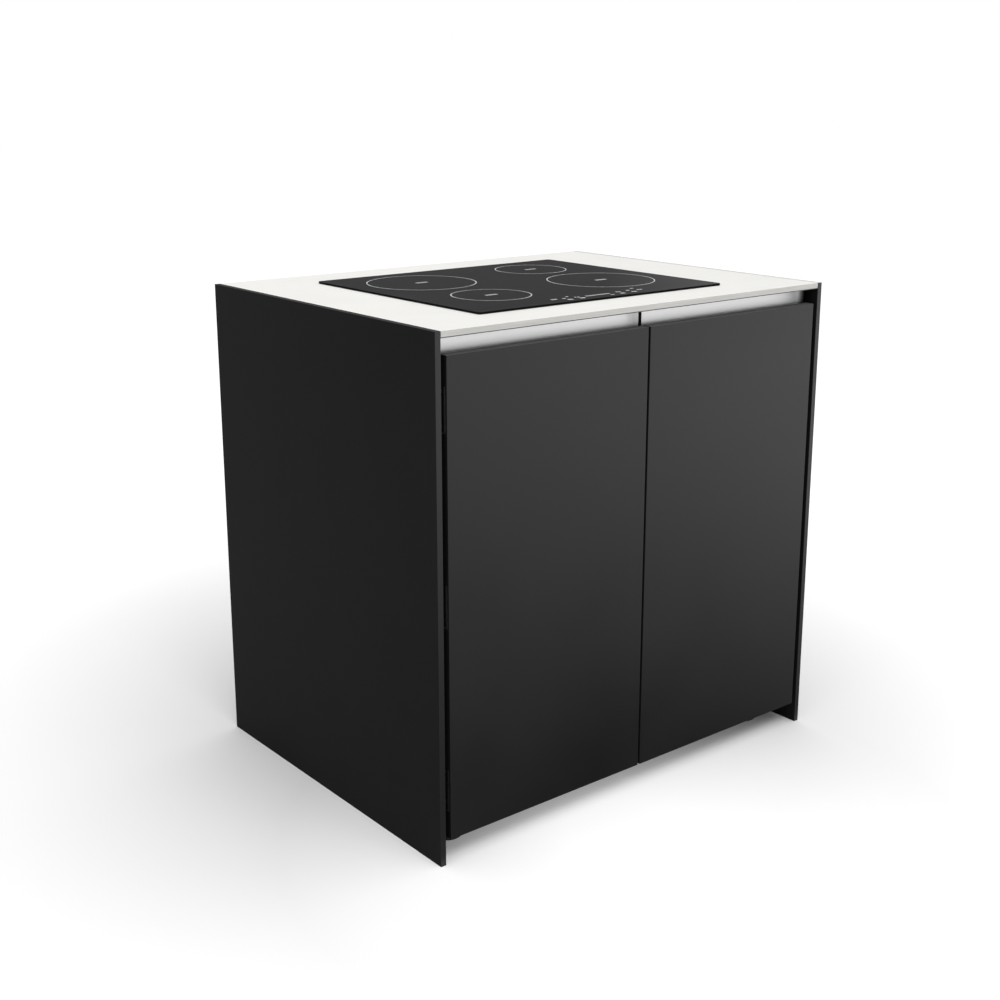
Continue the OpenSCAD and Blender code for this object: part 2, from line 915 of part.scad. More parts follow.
module foot_sockets() {
    color(black) foot_places() difference() {
        union() {
            translate([0, 0, socket_neck_z])
                cylinder(h = socket_neck_h, r = foot_thread_d / 2 + socket_wall);
            translate([0, 0, carcass_z - flange_t]) cylinder(h = flange_t, d = flange_d);
            translate([0, 0, carcass_z]) cylinder(h = socket_plug_h, r = socket_plug_r);
        }
        translate([0, 0, socket_neck_z - over])
            cylinder(h = over + socket_neck_h + flange_t + socket_plug_h - 2,
                r = foot_thread_d / 2 + run_fit);
    }
}

module foot() {
    stem_r = foot_thread_d / 2;
    stem_top = carcass_z + socket_plug_h / 2;
    pad_edge = 3;
    crown_r = stem_r + 7;
    crown_h = 1;
    color(black) {
        rotate_extrude() polygon([[0, 0], [pad_d / 2, 0], [pad_d / 2, pad_h - pad_edge],
            [pad_d / 2 - pad_edge, pad_h], [crown_r, pad_h + crown_h], [foot_collar_r, foot_collar_z],
            [stem_r, foot_collar_z], [stem_r, stem_top], [0, stem_top]]);
        translate([0, 0, foot_collar_z - foot_nut_sink])
            cylinder(h = foot_nut_h, r = foot_collar_r, $fn = 6);
    }
}

module foot_front_left() {
    translate([-foot_x, -foot_y, 0]) foot();
}

module foot_front_right() {
    translate([foot_x, -foot_y, 0]) foot();
}

module foot_back_left() {
    translate([-foot_x, foot_y, 0]) foot();
}

module foot_back_right() {
    translate([foot_x, foot_y, 0]) foot();
}

// Cable outlet

module cable_grommet() {
    color(black) translate([outlet_x, back_y, outlet_z]) rotate([90, 0, 0]) difference() {
        union() {
            cylinder(h = rear_panel_t, r = grommet_r);
            cylinder(h = grommet_flange_t, r = grommet_r + grommet_flange);
        }
        translate([0, 0, -over]) cylinder(h = rear_panel_t + 2 * over, d = outlet_d);
    }
}

// Hob

module at_hob(z) {
    translate([hob_x, hob_y, z]) children();
}

module at_zones(z) {
    at_hob(z) for (zone = zones) translate([zone[0], zone[1], 0]) children();
}

module hob_glass() {
    color("#141517") at_hob(glass_z) linear_extrude(glass_t) rounded(hob_w, hob_d, glass_r);
}

module hob_seal() {
    color("#0d0d0e") at_hob(unit_h) linear_extrude(seal_t) difference() {
        rounded(hob_w - 2 * seal_inset, hob_d - 2 * seal_inset, glass_r - seal_inset);
        rounded(cutout_w + 2 * seal_set_back, cutout_d + 2 * seal_set_back, cutout_r);
    }
}

module hob_casing() {
    color("#b4b8ba") at_hob(casing_z) difference() {
        union() {
            difference() {
                translate([-casing_w / 2, -casing_d / 2, 0]) cube([casing_w, casing_d, casing_h]);
                translate([-inner_w / 2, -inner_d / 2, casing_t]) cube([inner_w, inner_d, casing_h]);
            }
            stud_places() translate([0, 0, casing_t]) cylinder(h = stud_h, d = stud_d);
        }
        translate([0, fan_y, -over]) cylinder(h = casing_t + 2 * over, r = inlet_r);
        translate([gland_x, inner_d / 2 - over, gland_z - casing_z]) rotate([-90, 0, 0])
            cylinder(h = casing_t + 2 * over, r = gland_r + loose_fit);
        for (i = [-6 : 6]) translate([i * vent_pitch - vent_w / 2, inner_d / 2 - over, vent_rise])
            cube([vent_w, casing_t + 2 * over, vent_h]);
    }
}

module stud_places() {
    for (sx = [-1, 1], sy = [-1, 1], dx = [stud_inset, board_w - stud_inset])
        translate([sx * (board_x0 + dx), sy * (board_d / 2 - stud_inset), 0]) children();
}

module hob_clips() {
    finger_z = top_under - face_gap;
    clip_t = 1.5;
    color(zinc) translate([hob_x, hob_y, 0]) both_sides() for (y = [-clip_row, clip_row]) {
        box([casing_w / 2, y - clip_w / 2, finger_z - clip_drop],
            [casing_w / 2 + clip_t, y + clip_w / 2, finger_z]);
        box([casing_w / 2 + clip_t, y - clip_w / 2, finger_z - clip_t],
            [cutout_w / 2 + clip_reach, y + clip_w / 2, finger_z]);
    }
}

module coil_plate() {
    plate_w = inner_w - 2 * plate_play;
    plate_d = inner_d - 2 * plate_play;
    color("#c3c7c9") at_hob(0) difference() {
        union() {
            box([-plate_w / 2, -plate_d / 2, plate_z], [plate_w / 2, plate_d / 2, carrier_z]);
            both_sides() box([plate_w / 2 - plate_t, -plate_d / 2, casing_floor],
                [plate_w / 2, plate_d / 2, plate_z]);
        }
        for (zone = zones) translate([zone[0], zone[1], plate_z - over])
            cylinder(h = plate_t + 2 * over, d = sensor_d / 2);
    }
}

module coil_carriers() {
    color("#4a4038") at_hob(carrier_z) for (zone = zones) translate([zone[0], zone[1], 0])
        difference() {
            cylinder(h = carrier_t, r = zone[2] - carrier_edge);
            translate([0, 0, -over]) cylinder(h = carrier_t + 2 * over, d = sensor_hole_d);
        }
}

module induction_coils() {
    color("#b5703c") at_hob(coil_z) for (zone = zones) translate([zone[0], zone[1], 0])
        difference() {
            cylinder(h = coil_t, r = zone[2] - coil_edge);
            translate([0, 0, -over]) cylinder(h = coil_t + 2 * over, d = coil_hole_d);
        }
}

module mica_sheets() {
    color("#d8cfae") at_hob(mica_z) for (zone = zones) translate([zone[0], zone[1], 0])
        difference() {
            cylinder(h = mica_t, r = zone[2] - mica_edge);
            translate([0, 0, -over]) cylinder(h = mica_t + 2 * over, d = sensor_hole_d);
        }
}

module zone_sensors() {
    color("white") at_zones(carrier_z) cylinder(h = glass_z - face_gap - carrier_z, d = sensor_d);
}

module touch_board() {
    color("#1f5a3a") at_hob(glass_z - pcb_t)
        translate([-touch_w / 2, -inner_d / 2 + touch_wall_gap, 0]) cube([touch_w, touch_d, pcb_t]);
}

module power_boards() {
    color("#1f5a3a") at_hob(casing_floor + stud_h) both_sides()
        translate([board_x0, -board_d / 2, 0]) cube([board_w, board_d, pcb_t]);
}

module heat_sinks() {
    base_z = casing_floor + stud_h + pcb_t;
    fins = 9;
    fin_t = 2;
    color("#b9bdc0") at_hob(base_z) both_sides() translate([board_x0 + sink_inset, -sink_len / 2, 0]) {
        cube([sink_w, sink_len, 2 * fin_t]);
        for (i = [0 : fins - 1]) translate([i * (sink_w - fin_t) / (fins - 1), 0, 0])
            cube([fin_t, sink_len, sink_h]);
    }
}

module fan_housing() {
    color("#2c2e30") at_hob(casing_floor) translate([0, fan_y, 0]) {
        difference() {
            translate([-fan_w / 2, -fan_w / 2, 0]) cube([fan_w, fan_w, fan_h]);
            translate([0, 0, fan_floor]) cylinder(h = fan_h, r = fan_cavity_r);
            translate([0, 0, -over]) cylinder(h = fan_floor + 2 * over, r = inlet_r);
            for (s = [-1, 1])
                translate([(s * fan_w - fan_mouth_depth) / 2, -fan_mouth_w / 2, fan_mouth_rise])
                    cube([fan_mouth_depth, fan_mouth_w, fan_h - fan_mouth_rise - fan_mouth_drop]);
        }
        difference() {
            union() {
                for (a = [0, 120, 240]) rotate([0, 0, a]) translate([0, -fan_spoke_w / 2, 0])
                    cube([inlet_r + over, fan_spoke_w, fan_floor]);
                cylinder(h = hub_top - casing_floor, r = hub_r);
            }
            translate([0, 0, -over])
                cylinder(h = hub_top - casing_floor + 2 * over, d = axle_d - slip_fit);
        }
        cylinder(h = fan_h - fan_axle_drop, d = axle_d);
    }
}

module fan_rotor() {
    blade_t = 1.4;
    ring_r = hub_r + 6;
    blade_root = ring_r - 2;
    disc_t = 1.5;
    color("#34373a") at_hob(rotor_z) translate([0, fan_y, 0]) difference() {
        union() {
            cylinder(h = rotor_h, r = ring_r);
            cylinder(h = disc_t, r = rotor_r);
            for (i = [0 : blade_count - 1]) rotate([0, 0, i * 360 / blade_count])
                translate([blade_root, -blade_t / 2, 0])
                    cube([rotor_r - blade_root - 1, blade_t, rotor_h]);
        }
        translate([0, 0, -over]) cylinder(h = rotor_h + 2 * over, d = axle_d + 2 * run_fit);
    }
}

module terminal_block() {
    color("#d9d6cc") at_hob(casing_floor)
        translate([gland_x - terminal_w / 2, inner_d / 2 - terminal_wall_gap - terminal_d, 0])
            cube([terminal_w, terminal_d, terminal_h]);
}

module cable_gland() {
    color("#222427") at_hob(gland_z) translate([gland_x, inner_d / 2, 0]) rotate([-90, 0, 0])
        difference() {
            union() {
                translate([0, 0, -gland_inner])
                    cylinder(h = gland_inner + casing_t + gland_outer, r = gland_r);
                translate([0, 0, -gland_nut_h]) cylinder(h = gland_nut_h, r = gland_nut_r);
                translate([0, 0, casing_t]) cylinder(h = gland_cap_h, r = gland_nut_r);
            }
            translate([0, 0, -gland_inner - over])
                cylinder(h = gland_inner + casing_t + gland_cap_h + 2 * over, r = gland_bore_r);
        }
}

side_panel_left();
side_panel_right();
rear_panel();
worktop();
carcass_side_left();
carcass_side_right();
carcass_bottom();
carcass_back();
centre_partition();
front_rail();
rear_rail();
heat_shield();
shield_cleats();
panel_spacers();
shelf_left();
shelf_right();
shelf_pins();
grip_channel_left();
grip_channel_right();
channel_end_caps();
channel_divider();
channel_screws();
frame_leaves();
frame_leaf_screws();
carcass_screws();
panel_screws();
foot_sockets();
door_buffers();
door_magnets();
cable_grommet();
hob_glass();
hob_seal();
hob_casing();
hob_clips();
coil_plate();
coil_carriers();
induction_coils();
mica_sheets();
zone_sensors();
touch_board();
power_boards();
heat_sinks();
fan_housing();
fan_rotor();
terminal_block();
cable_gland();
foot_front_left();
foot_front_right();
foot_back_left();
foot_back_right();
door_left();
door_leaves_left();
hinge_pins_left();
leaf_screws_left();
strike_plate_left();
door_right();
door_leaves_right();
hinge_pins_right();
leaf_screws_right();
strike_plate_right();
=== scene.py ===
# Kitchen base unit with two doors, a stone top and an induction hob.
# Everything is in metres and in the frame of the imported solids.
import math
import bmesh
import bpy
import numpy as np
from mathutils import Matrix, Vector


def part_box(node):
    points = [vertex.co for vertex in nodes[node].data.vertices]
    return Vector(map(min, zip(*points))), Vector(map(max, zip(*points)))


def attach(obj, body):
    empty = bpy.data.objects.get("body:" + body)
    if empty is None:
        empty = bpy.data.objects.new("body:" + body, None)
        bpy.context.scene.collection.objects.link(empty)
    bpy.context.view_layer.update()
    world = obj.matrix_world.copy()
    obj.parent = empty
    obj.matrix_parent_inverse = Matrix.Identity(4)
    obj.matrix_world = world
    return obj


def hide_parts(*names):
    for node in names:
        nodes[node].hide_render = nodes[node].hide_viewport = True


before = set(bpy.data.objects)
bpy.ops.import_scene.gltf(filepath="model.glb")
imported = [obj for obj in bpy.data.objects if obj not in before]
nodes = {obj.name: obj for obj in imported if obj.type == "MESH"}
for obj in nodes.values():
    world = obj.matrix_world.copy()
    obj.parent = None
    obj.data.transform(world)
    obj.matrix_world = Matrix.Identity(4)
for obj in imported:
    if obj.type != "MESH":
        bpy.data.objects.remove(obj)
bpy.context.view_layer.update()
mm = 0.001
print("frame:", len(nodes), "nodes")


# Camera: the eye in millimetres, the picture's right, up and backward directions, lens and shift
view = {
    "eye": (-1766.3, -2134.0, 1295.4),
    "right": (0.77597776, -0.63075961, 0.00090858),
    "up": (0.1559023, 0.19319064, 0.96869595),
    "back": (-0.61118981, -0.75154487, 0.24824851),
    "lens": 51.254, "sensor": 36, "shift": (-0.00768, -0.04561), "clip": (0.1, 60),
}


def makeCamera():
    data = bpy.data.cameras.new("camera")
    data.lens = view["lens"]
    data.sensor_width = view["sensor"]
    data.shift_x, data.shift_y = view["shift"]
    data.clip_start, data.clip_end = view["clip"]
    camera = bpy.data.objects.new("camera", data)
    bpy.context.scene.collection.objects.link(camera)
    turn = Matrix((view["right"], view["up"], view["back"])).transposed()
    camera.matrix_world = Matrix.Translation(Vector(view["eye"]) * mm) @ turn.to_4x4()
    bpy.context.scene.camera = camera


makeCamera()
bpy.context.scene.view_settings.view_transform = "Standard"
print("camera set")


# Adds a node to a shader tree and sets its properties
def addNode(tree, kind, **settings):
    node = tree.nodes.new(kind)
    for key, value in settings.items():
        setattr(node, key, value)
    return node


# Gives a socket a constant or a link
def feed(tree, socket, value):
    if isinstance(value, bpy.types.NodeSocket):
        tree.links.new(value, socket)
    elif isinstance(value, (tuple, list)) and len(value) == 3 and socket.type == "RGBA":
        socket.default_value = (*value, 1)
    else:
        socket.default_value = value


def maths(tree, operation, first, second=0.5, clamp=False):
    node = addNode(tree, "ShaderNodeMath", operation=operation, use_clamp=clamp)
    feed(tree, node.inputs[0], first)
    feed(tree, node.inputs[1], second)
    return node.outputs[0]


def mathsOfThree(tree, operation, x, y, z):
    return maths(tree, operation, maths(tree, operation, x, y), z)


def vectorMaths(tree, operation, first, second):
    node = addNode(tree, "ShaderNodeVectorMath", operation=operation)
    feed(tree, node.inputs[0], first)
    feed(tree, node.inputs[1], second)
    return node.outputs["Value" if operation == "DISTANCE" else "Vector"]


def split(tree, value):
    node = addNode(tree, "ShaderNodeSeparateXYZ")
    feed(tree, node.inputs[0], value)
    return node.outputs


# The three parts of the direction that the surface faces
def facingParts(tree):
    return split(tree, addNode(tree, "ShaderNodeNewGeometry").outputs["Normal"])


def noiseAt(tree, place, scale, detail):
    node = addNode(tree, "ShaderNodeTexNoise")
    for name, value in (("Vector", place), ("Scale", scale), ("Detail", detail)):
        feed(tree, node.inputs[name], value)
    return node.outputs["Fac"]


def remap(tree, value, low, high, newLow, newHigh):
    node = addNode(tree, "ShaderNodeMapRange", clamp=True)
    for index, part in enumerate((value, low, high, newLow, newHigh)):
        feed(tree, node.inputs[index], part)
    return node.outputs[0]


# Starts a node group with named sockets: ins are (name, kind, default), outs are (name, kind)
def startGroup(name, ins, outs):
    group = bpy.data.node_groups.new(name, "ShaderNodeTree")
    for socketName, kind, default in ins:
        socket = group.interface.new_socket(socketName, in_out="INPUT", socket_type=kind)
        if default is not None:
            socket.default_value = default
    for socketName, kind in outs:
        group.interface.new_socket(socketName, in_out="OUTPUT", socket_type=kind)
    given, result = group.nodes.new("NodeGroupInput"), group.nodes.new("NodeGroupOutput")
    return group, given.outputs, result.inputs


number, vector = "NodeSocketFloat", "NodeSocketVector"
placeSocket = ("Place", vector, None)
boardSockets = [placeSocket, ("Low", vector, None), ("High", vector, None)]

# What the masks are made with: the noise's scale and detail, the noise values between which a
# mask goes from its first level to its second, and the upward share of the direction
masks = {
    "wearAndHighlight": {"scale": 60, "detail": 4, "noise": (0.35, 0.65), "levels": (0.35, 1.0)},
    "bandFall": (0.6, 1.0),
    "dust": {"detail": 5, "noise": (0.3, 0.7), "levels": (0.4, 1.0), "upward": (0.2, 0.95)},
    "cut": {"scale": 9, "detail": 4, "noise": (0.3, 0.7), "levels": (0.7, 1.0),
            "upward": (0.3, 0.8), "stretch": (1, 1, 60)},
}


# Noise pulled out along one direction: grain, brushing, mottling
def makeStreaks():
    group, given, result = startGroup(
        "streaks",
        [placeSocket, ("Stretch", vector, (1, 1, 1)), ("Scale", number, 50),
         ("Detail", number, 3), ("Contrast", number, 0.3)],
        [("Mask", number), ("Height", number)],
    )
    scaled = vectorMaths(group, "MULTIPLY", given["Place"], given["Stretch"])
    noise = noiseAt(group, scaled, given["Scale"], given["Detail"])
    low = maths(group, "SUBTRACT", 0.5, given["Contrast"])
    high = maths(group, "ADD", 0.5, given["Contrast"])
    feed(group, result["Mask"], remap(group, noise, low, high, 0.0, 1.0))
    feed(group, result["Height"], noise)
    return group


# Distances to the nearer of a board's two faces along x, y and z
def faceGaps(group, given):
    fromLow = vectorMaths(group, "SUBTRACT", given["Place"], given["Low"])
    toHigh = vectorMaths(group, "SUBTRACT", given["High"], given["Place"])
    return split(group, vectorMaths(group, "MINIMUM", fromLow, toHigh))


# Lighter where two faces of a board meet, partly wear and partly a painted highlight: near an
# edge the middle one of the three distances to the board's faces is small. The middle one is the
# sum less the least and the greatest.
def makeEdgeWearAndHighlight():
    group, given, result = startGroup(
        "edgeWearAndHighlight", [*boardSockets, ("Width", number, 0.002)], [("Mask", number)]
    )
    look, gaps = masks["wearAndHighlight"], faceGaps(group, given)
    least = mathsOfThree(group, "MINIMUM", *gaps)
    greatest = mathsOfThree(group, "MAXIMUM", *gaps)
    total = mathsOfThree(group, "ADD", *gaps)
    middle = maths(group, "SUBTRACT", maths(group, "SUBTRACT", total, least), greatest)
    noise = noiseAt(group, given["Place"], look["scale"], look["detail"])
    ragged = remap(group, noise, *look["noise"], *look["levels"])
    reach = maths(group, "DIVIDE", middle, given["Width"])
    near = maths(group, "SUBTRACT", 1.0, reach, True)
    feed(group, result["Mask"], maths(group, "MULTIPLY", near, ragged, True))
    return group


# Band along a board's narrow faces: near one of the four faces that close it all round
def makeEdgeBand():
    group, given, result = startGroup(
        "edgeBand", [*boardSockets, ("Width", number, 0.0005)], [("Mask", number)]
    )
    least = mathsOfThree(group, "MINIMUM", *faceGaps(group, given))
    share = maths(group, "DIVIDE", least, given["Width"])
    feed(group, result["Mask"], remap(group, share, *masks["bandFall"], 1.0, 0.0))
    return group


# The mask is a direction's share times a broken noise times the amount asked for
def endPatches(group, given, result, share, noise, look):
    broken = remap(group, noise, *look["noise"], *look["levels"])
    spread = maths(group, "MULTIPLY", share, broken)
    feed(group, result["Mask"], maths(group, "MULTIPLY", spread, given["Amount"]))
    return group


# Thin film of dust on what faces up, in soft patches
def makeDust():
    group, given, result = startGroup(
        "dust", [placeSocket, ("Scale", number, 12), ("Amount", number, 0.1)], [("Mask", number)]
    )
    look = masks["dust"]
    facingUp = remap(group, facingParts(group)[2], *look["upward"], 0.0, 1.0)
    noise = noiseAt(group, given["Place"], given["Scale"], look["detail"])
    return endPatches(group, given, result, facingUp, noise, look)


# Cut edges of a slab, greyed partly as painted shade: what doesn't face up, in fine level lines
def makeCutEdgeShade():
    group, given, result = startGroup(
        "cutEdgeShade", [placeSocket, ("Amount", number, 0.5)], [("Mask", number)]
    )
    look = masks["cut"]
    sideways = remap(group, facingParts(group)[2], *look["upward"], 1.0, 0.0)
    level = vectorMaths(group, "MULTIPLY", given["Place"], look["stretch"])
    noise = noiseAt(group, level, look["scale"], look["detail"])
    return endPatches(group, given, result, sideways, noise, look)


groups = {"streaks": makeStreaks(), "edgeWearAndHighlight": makeEdgeWearAndHighlight(), "edgeBand": makeEdgeBand(),
          "dust": makeDust(), "cutEdgeShade": makeCutEdgeShade()}

# Roughness goes from its first to its second value between these values of the noise
noiseSpan = (0.3, 0.7)


# A material under work: its tree, its shader and its place on the piece
class Finish:
    def __init__(self, name, **constants):
        self.material = bpy.data.materials.new(name)
        self.material.use_nodes = True
        self.tree = self.material.node_tree
        self.shader = self.tree.nodes["Principled BSDF"]
        self.place = addNode(self.tree, "ShaderNodeTexCoord").outputs["Object"]
        self.set(**constants)

    def set(self, **values):
        for key, value in values.items():
            feed(self.tree, self.shader.inputs[key.replace("_", " ")], value)

    def group(self, name, **values):
        node = addNode(self.tree, "ShaderNodeGroup", node_tree=groups[name])
        feed(self.tree, node.inputs["Place"], self.place)
        for key, value in values.items():
            feed(self.tree, node.inputs[key], value)
        return node.outputs

    def mix(self, share, first, second, kind="MIX"):
        node = addNode(self.tree, "ShaderNodeMix", data_type="RGBA", blend_type=kind)
        for socket, value in (("Factor", share), (6, first), (7, second)):
            feed(self.tree, node.inputs[socket], value)
        return node.outputs[2]

    def times(self, first, second):
        return maths(self.tree, "MULTIPLY", first, second)

    def range(self, value, newLow, newHigh, low=0.0, high=1.0):
        return remap(self.tree, value, low, high, newLow, newHigh)

    def roughen(self, height, rough):
        self.set(Roughness=self.range(height, *rough, *noiseSpan))

    def bump(self, height, strength, distance):
        node = addNode(self.tree, "ShaderNodeBump")
        node.inputs["Strength"].default_value = strength
        node.inputs["Distance"].default_value = distance
        feed(self.tree, node.inputs["Height"], height)
        feed(self.tree, self.shader.inputs["Normal"], node.outputs[0])


def boardCorners(node):
    low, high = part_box(node)
    return tuple(low), tuple(high)


dustTone = (0.4, 0.39, 0.37)

# Matt laminates: nearly black, a fine grain, slight cloudiness, paler edges that are partly wear
# and partly a painted highlight
laminates = {
    "blackPanel": {
        "dark": (0.0092, 0.0093, 0.0098), "light": (0.0128, 0.013, 0.0136), "rough": (0.50, 0.58),
        "gloss": 0.02, "wearAndHighlight": (0.05, 0.05, 0.052), "band": (0.030, 0.030, 0.031), "share": 0.3,
        "dust": 0.04},
    "doorLaminate": {
        "dark": (0.0088, 0.0090, 0.0095), "light": (0.0118, 0.0120, 0.0127),
        "rough": (0.38, 0.44), "gloss": 0.26, "wearAndHighlight": (0.06, 0.06, 0.064),
        "band": (0.0095, 0.0097, 0.0102), "share": 0.12, "dust": 0.01},
    "carcassBoard": {
        "dark": (0.030, 0.032, 0.035), "light": (0.046, 0.049, 0.053), "rough": (0.50, 0.62),
        "gloss": 0.3, "wearAndHighlight": (0.09, 0.09, 0.095), "band": (0.04, 0.042, 0.046), "share": 0.3,
        "dust": 0.04},
    "blackBoard": {
        "dark": (0.012, 0.012, 0.0125), "light": (0.022, 0.022, 0.023), "rough": (0.6, 0.72),
        "gloss": 0.2, "wearAndHighlight": (0.05, 0.05, 0.05), "band": (0.017, 0.017, 0.018), "share": 0.3,
        "dust": 0.04},
}
laminateGrain = {
    "cloud": {"Scale": 5.0, "Detail": 5.0, "Contrast": 0.25},
    "grain": {"Scale": 900.0, "Detail": 2.0, "Contrast": 0.25},
    "wearAndHighlightWidth": 0.0012, "bandWidth": 0.0005, "dustScale": 9.0, "bump": (0.16, 0.00025),
}


# The band leaves out the two broad faces: the box that it measures from is a metre wider there
def laminate(kind, node):
    look, grains = laminates[kind], laminateGrain
    finish = Finish(kind + "." + node, Specular_IOR_Level=look["gloss"])
    low, high = boardCorners(node)
    thin = min(range(3), key=lambda axis: high[axis] - low[axis])
    openLow = tuple(low[axis] - (axis == thin) for axis in range(3))
    openHigh = tuple(high[axis] + (axis == thin) for axis in range(3))
    cloud = finish.group("streaks", **grains["cloud"])
    grain = finish.group("streaks", **grains["grain"])
    wearAndHighlight = finish.group("edgeWearAndHighlight", Low=low, High=high, Width=grains["wearAndHighlightWidth"])
    band = finish.group("edgeBand", Low=openLow, High=openHigh, Width=grains["bandWidth"])
    dust = finish.group("dust", Scale=grains["dustScale"], Amount=look["dust"])
    base = finish.mix(cloud["Mask"], look["dark"], look["light"])
    base = finish.mix(band["Mask"], base, look["band"])
    # Paler edges: partly wear and partly a painted highlight
    base = finish.mix(finish.times(wearAndHighlight["Mask"], look["share"]), base, look["wearAndHighlight"])
    finish.set(Base_Color=finish.mix(dust["Mask"], base, dustTone))
    finish.roughen(cloud["Height"], look["rough"])
    finish.bump(grain["Height"], *grains["bump"])
    return finish.material


# Warm white sintered stone: large faint clouds, sparse fine specks, satin, with greyer cut edges,
# partly painted shade on the sides, and a thin painted shade line along their foot. It is painted
# a little paler towards the back, painted light where less light falls, so that the top shows one
# even tone.
stone = {
    "pale": (0.80, 0.794, 0.767), "cloud": (0.762, 0.755, 0.727), "speck": (0.66, 0.65, 0.62),
    # The edge tone greys the side faces: partly the cut body, partly painted shade on them
    "edge": (0.37, 0.365, 0.35), "rough": (0.30, 0.42), "gloss": 0.05, "bump": (0.08, 0.0002),
    "clouds": {"Stretch": (1.0, 1.6, 1.0), "Scale": 7.0, "Detail": 6.0, "Contrast": 0.22},
    "veins": {"Stretch": (1.0, 9.0, 9.0), "Scale": 18.0, "Detail": 4.0, "Contrast": 0.2},
    "specks": {"Scale": 620.0, "Detail": 2.0, "Contrast": 0.3},
    "veinShare": 0.22, "edgeShadeShare": 0.8, "speckShare": 0.4, "speckNoise": (0.66, 0.78),
    # A thin band at the slab's foot in a dark tone: painted shade
    "paintedShadeLine": 0.0022, "paintedShadeFull": 0.7, "paintedShadeTone": (0.10, 0.098, 0.094),
    "frontLift": (1.02, 1.02, 1.02), "backLift": (1.14, 1.14, 1.14),
}


def stoneFinish():
    finish = Finish("worktopStone", Specular_IOR_Level=stone["gloss"])
    cloud = finish.group("streaks", **stone["clouds"])
    vein = finish.group("streaks", **stone["veins"])
    speck = finish.group("streaks", **stone["specks"])
    cut = finish.group("cutEdgeShade", Amount=stone["edgeShadeShare"])
    base = finish.mix(cloud["Mask"], stone["pale"], stone["cloud"])
    base = finish.mix(finish.times(vein["Mask"], stone["veinShare"]), base, stone["cloud"])
    # Greyer cut edges: partly the stone's body, partly painted shade on the side faces
    base = finish.mix(cut["Mask"], base, stone["edge"])
    place = split(finish.tree, finish.place)
    low, high = boardCorners("worktop")
    depth = finish.range(place[1], 0.0, 1.0, low[1], high[1])
    lift = finish.mix(depth, stone["frontLift"], stone["backLift"])
    base = finish.mix(1.0, base, lift, "MULTIPLY")
    # A thin dark band at the slab's foot: painted shade under the edge
    full, end = low[2] + stone["paintedShadeLine"] * stone["paintedShadeFull"], low[2] + stone["paintedShadeLine"]
    base = finish.mix(finish.range(place[2], 1.0, 0.0, full, end), base, stone["paintedShadeTone"])
    dots = finish.range(speck["Height"], 0.0, 1.0, *stone["speckNoise"])
    dots = finish.times(dots, stone["speckShare"])
    finish.set(Base_Color=finish.mix(dots, base, stone["speck"]))
    finish.roughen(cloud["Height"], stone["rough"])
    finish.bump(speck["Height"], *stone["bump"])
    return finish.material


# Metals: bright or dark colour, brushed along one direction, roughness that follows the brushing.
# Without a stretch the grain is even. A spread widens reflections across x, and the painted cap
# shade is the tone of the painted shadows on the caps.
metals = {
    "brushedChannel": {
        "dark": (0.585, 0.585, 0.588), "light": (0.67, 0.67, 0.672), "rough": (0.41, 0.47),
        "stretch": (1.0, 90.0, 90.0), "scale": 16.0, "bump": 0.06, "spread": 0.75},
    "capSteel": {
        "dark": (0.90, 0.90, 0.905), "light": (0.96, 0.96, 0.965), "rough": (0.16, 0.22),
        "scale": 300.0, "bump": 0.04, "paintedCapShade": (0.03, 0.03, 0.03)},
    "pinSteel": {
        "dark": (0.46, 0.46, 0.47), "light": (0.6, 0.6, 0.61), "rough": (0.22, 0.36),
        "stretch": (8.0, 8.0, 90.0), "scale": 12.0, "bump": 0.1},
    "screwZinc": {
        "dark": (0.46, 0.46, 0.44), "light": (0.64, 0.63, 0.6), "rough": (0.28, 0.45),
        "scale": 260.0, "bump": 0.08},
    "galvanisedSheet": {
        "dark": (0.44, 0.46, 0.47), "light": (0.66, 0.68, 0.69), "rough": (0.34, 0.55),
        "scale": 46.0, "bump": 0.05},
    "aluminiumSheet": {
        "dark": (0.66, 0.67, 0.68), "light": (0.78, 0.79, 0.8), "rough": (0.32, 0.44),
        "stretch": (3.0, 70.0, 70.0), "scale": 10.0, "bump": 0.08},
    "blackMetal": {
        "dark": (0.010, 0.010, 0.011), "light": (0.017, 0.017, 0.018), "rough": (0.42, 0.55),
        "scale": 420.0, "metallic": 0.0, "bump": 0.2},
    "coilCopper": {
        "dark": (0.36, 0.14, 0.06), "light": (0.68, 0.33, 0.16), "rough": (0.28, 0.4),
        "scale": 300.0, "bump": 0.3},
}
metalGrain = {
    "brush": {"Detail": 5.0, "Contrast": 0.24},
    "patch": {"Scale": 9.0, "Detail": 3.0, "Contrast": 0.3},
    "patchShare": 0.18, "bumpDistance": 0.0001,
}

# The painted shade on the caps: how far from the middle plane the inner ones end, how far
# forward a face has to look for it, and where the outer cap of the right channel begins
capShade = {"middle": (0.05, 0.10), "forward": (-0.8, -0.4), "outer": (0.42, 0.421)}


# What looks forward close to the middle plane, where the black strip's shadow is painted on the
# caps
def middleFront(finish):
    side = maths(finish.tree, "ABSOLUTE", split(finish.tree, finish.place)[0])
    near = finish.range(side, 1.0, 0.0, *capShade["middle"])
    forward = finish.range(facingParts(finish.tree)[1], 1.0, 0.0, *capShade["forward"])
    return finish.times(near, forward)


# Painted shade: the right-hand cap darkens towards its front. What stays bright is the square
# of the depth
def outerCapShade(finish):
    low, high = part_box("channel_end_caps")
    place = split(finish.tree, finish.place)
    outer = finish.range(place[0], 0.0, 1.0, *capShade["outer"])
    depth = finish.range(place[1], 0.0, 1.0, low[1], high[1])
    fade = maths(finish.tree, "SUBTRACT", 1.0, finish.times(depth, depth))
    return finish.times(outer, fade)


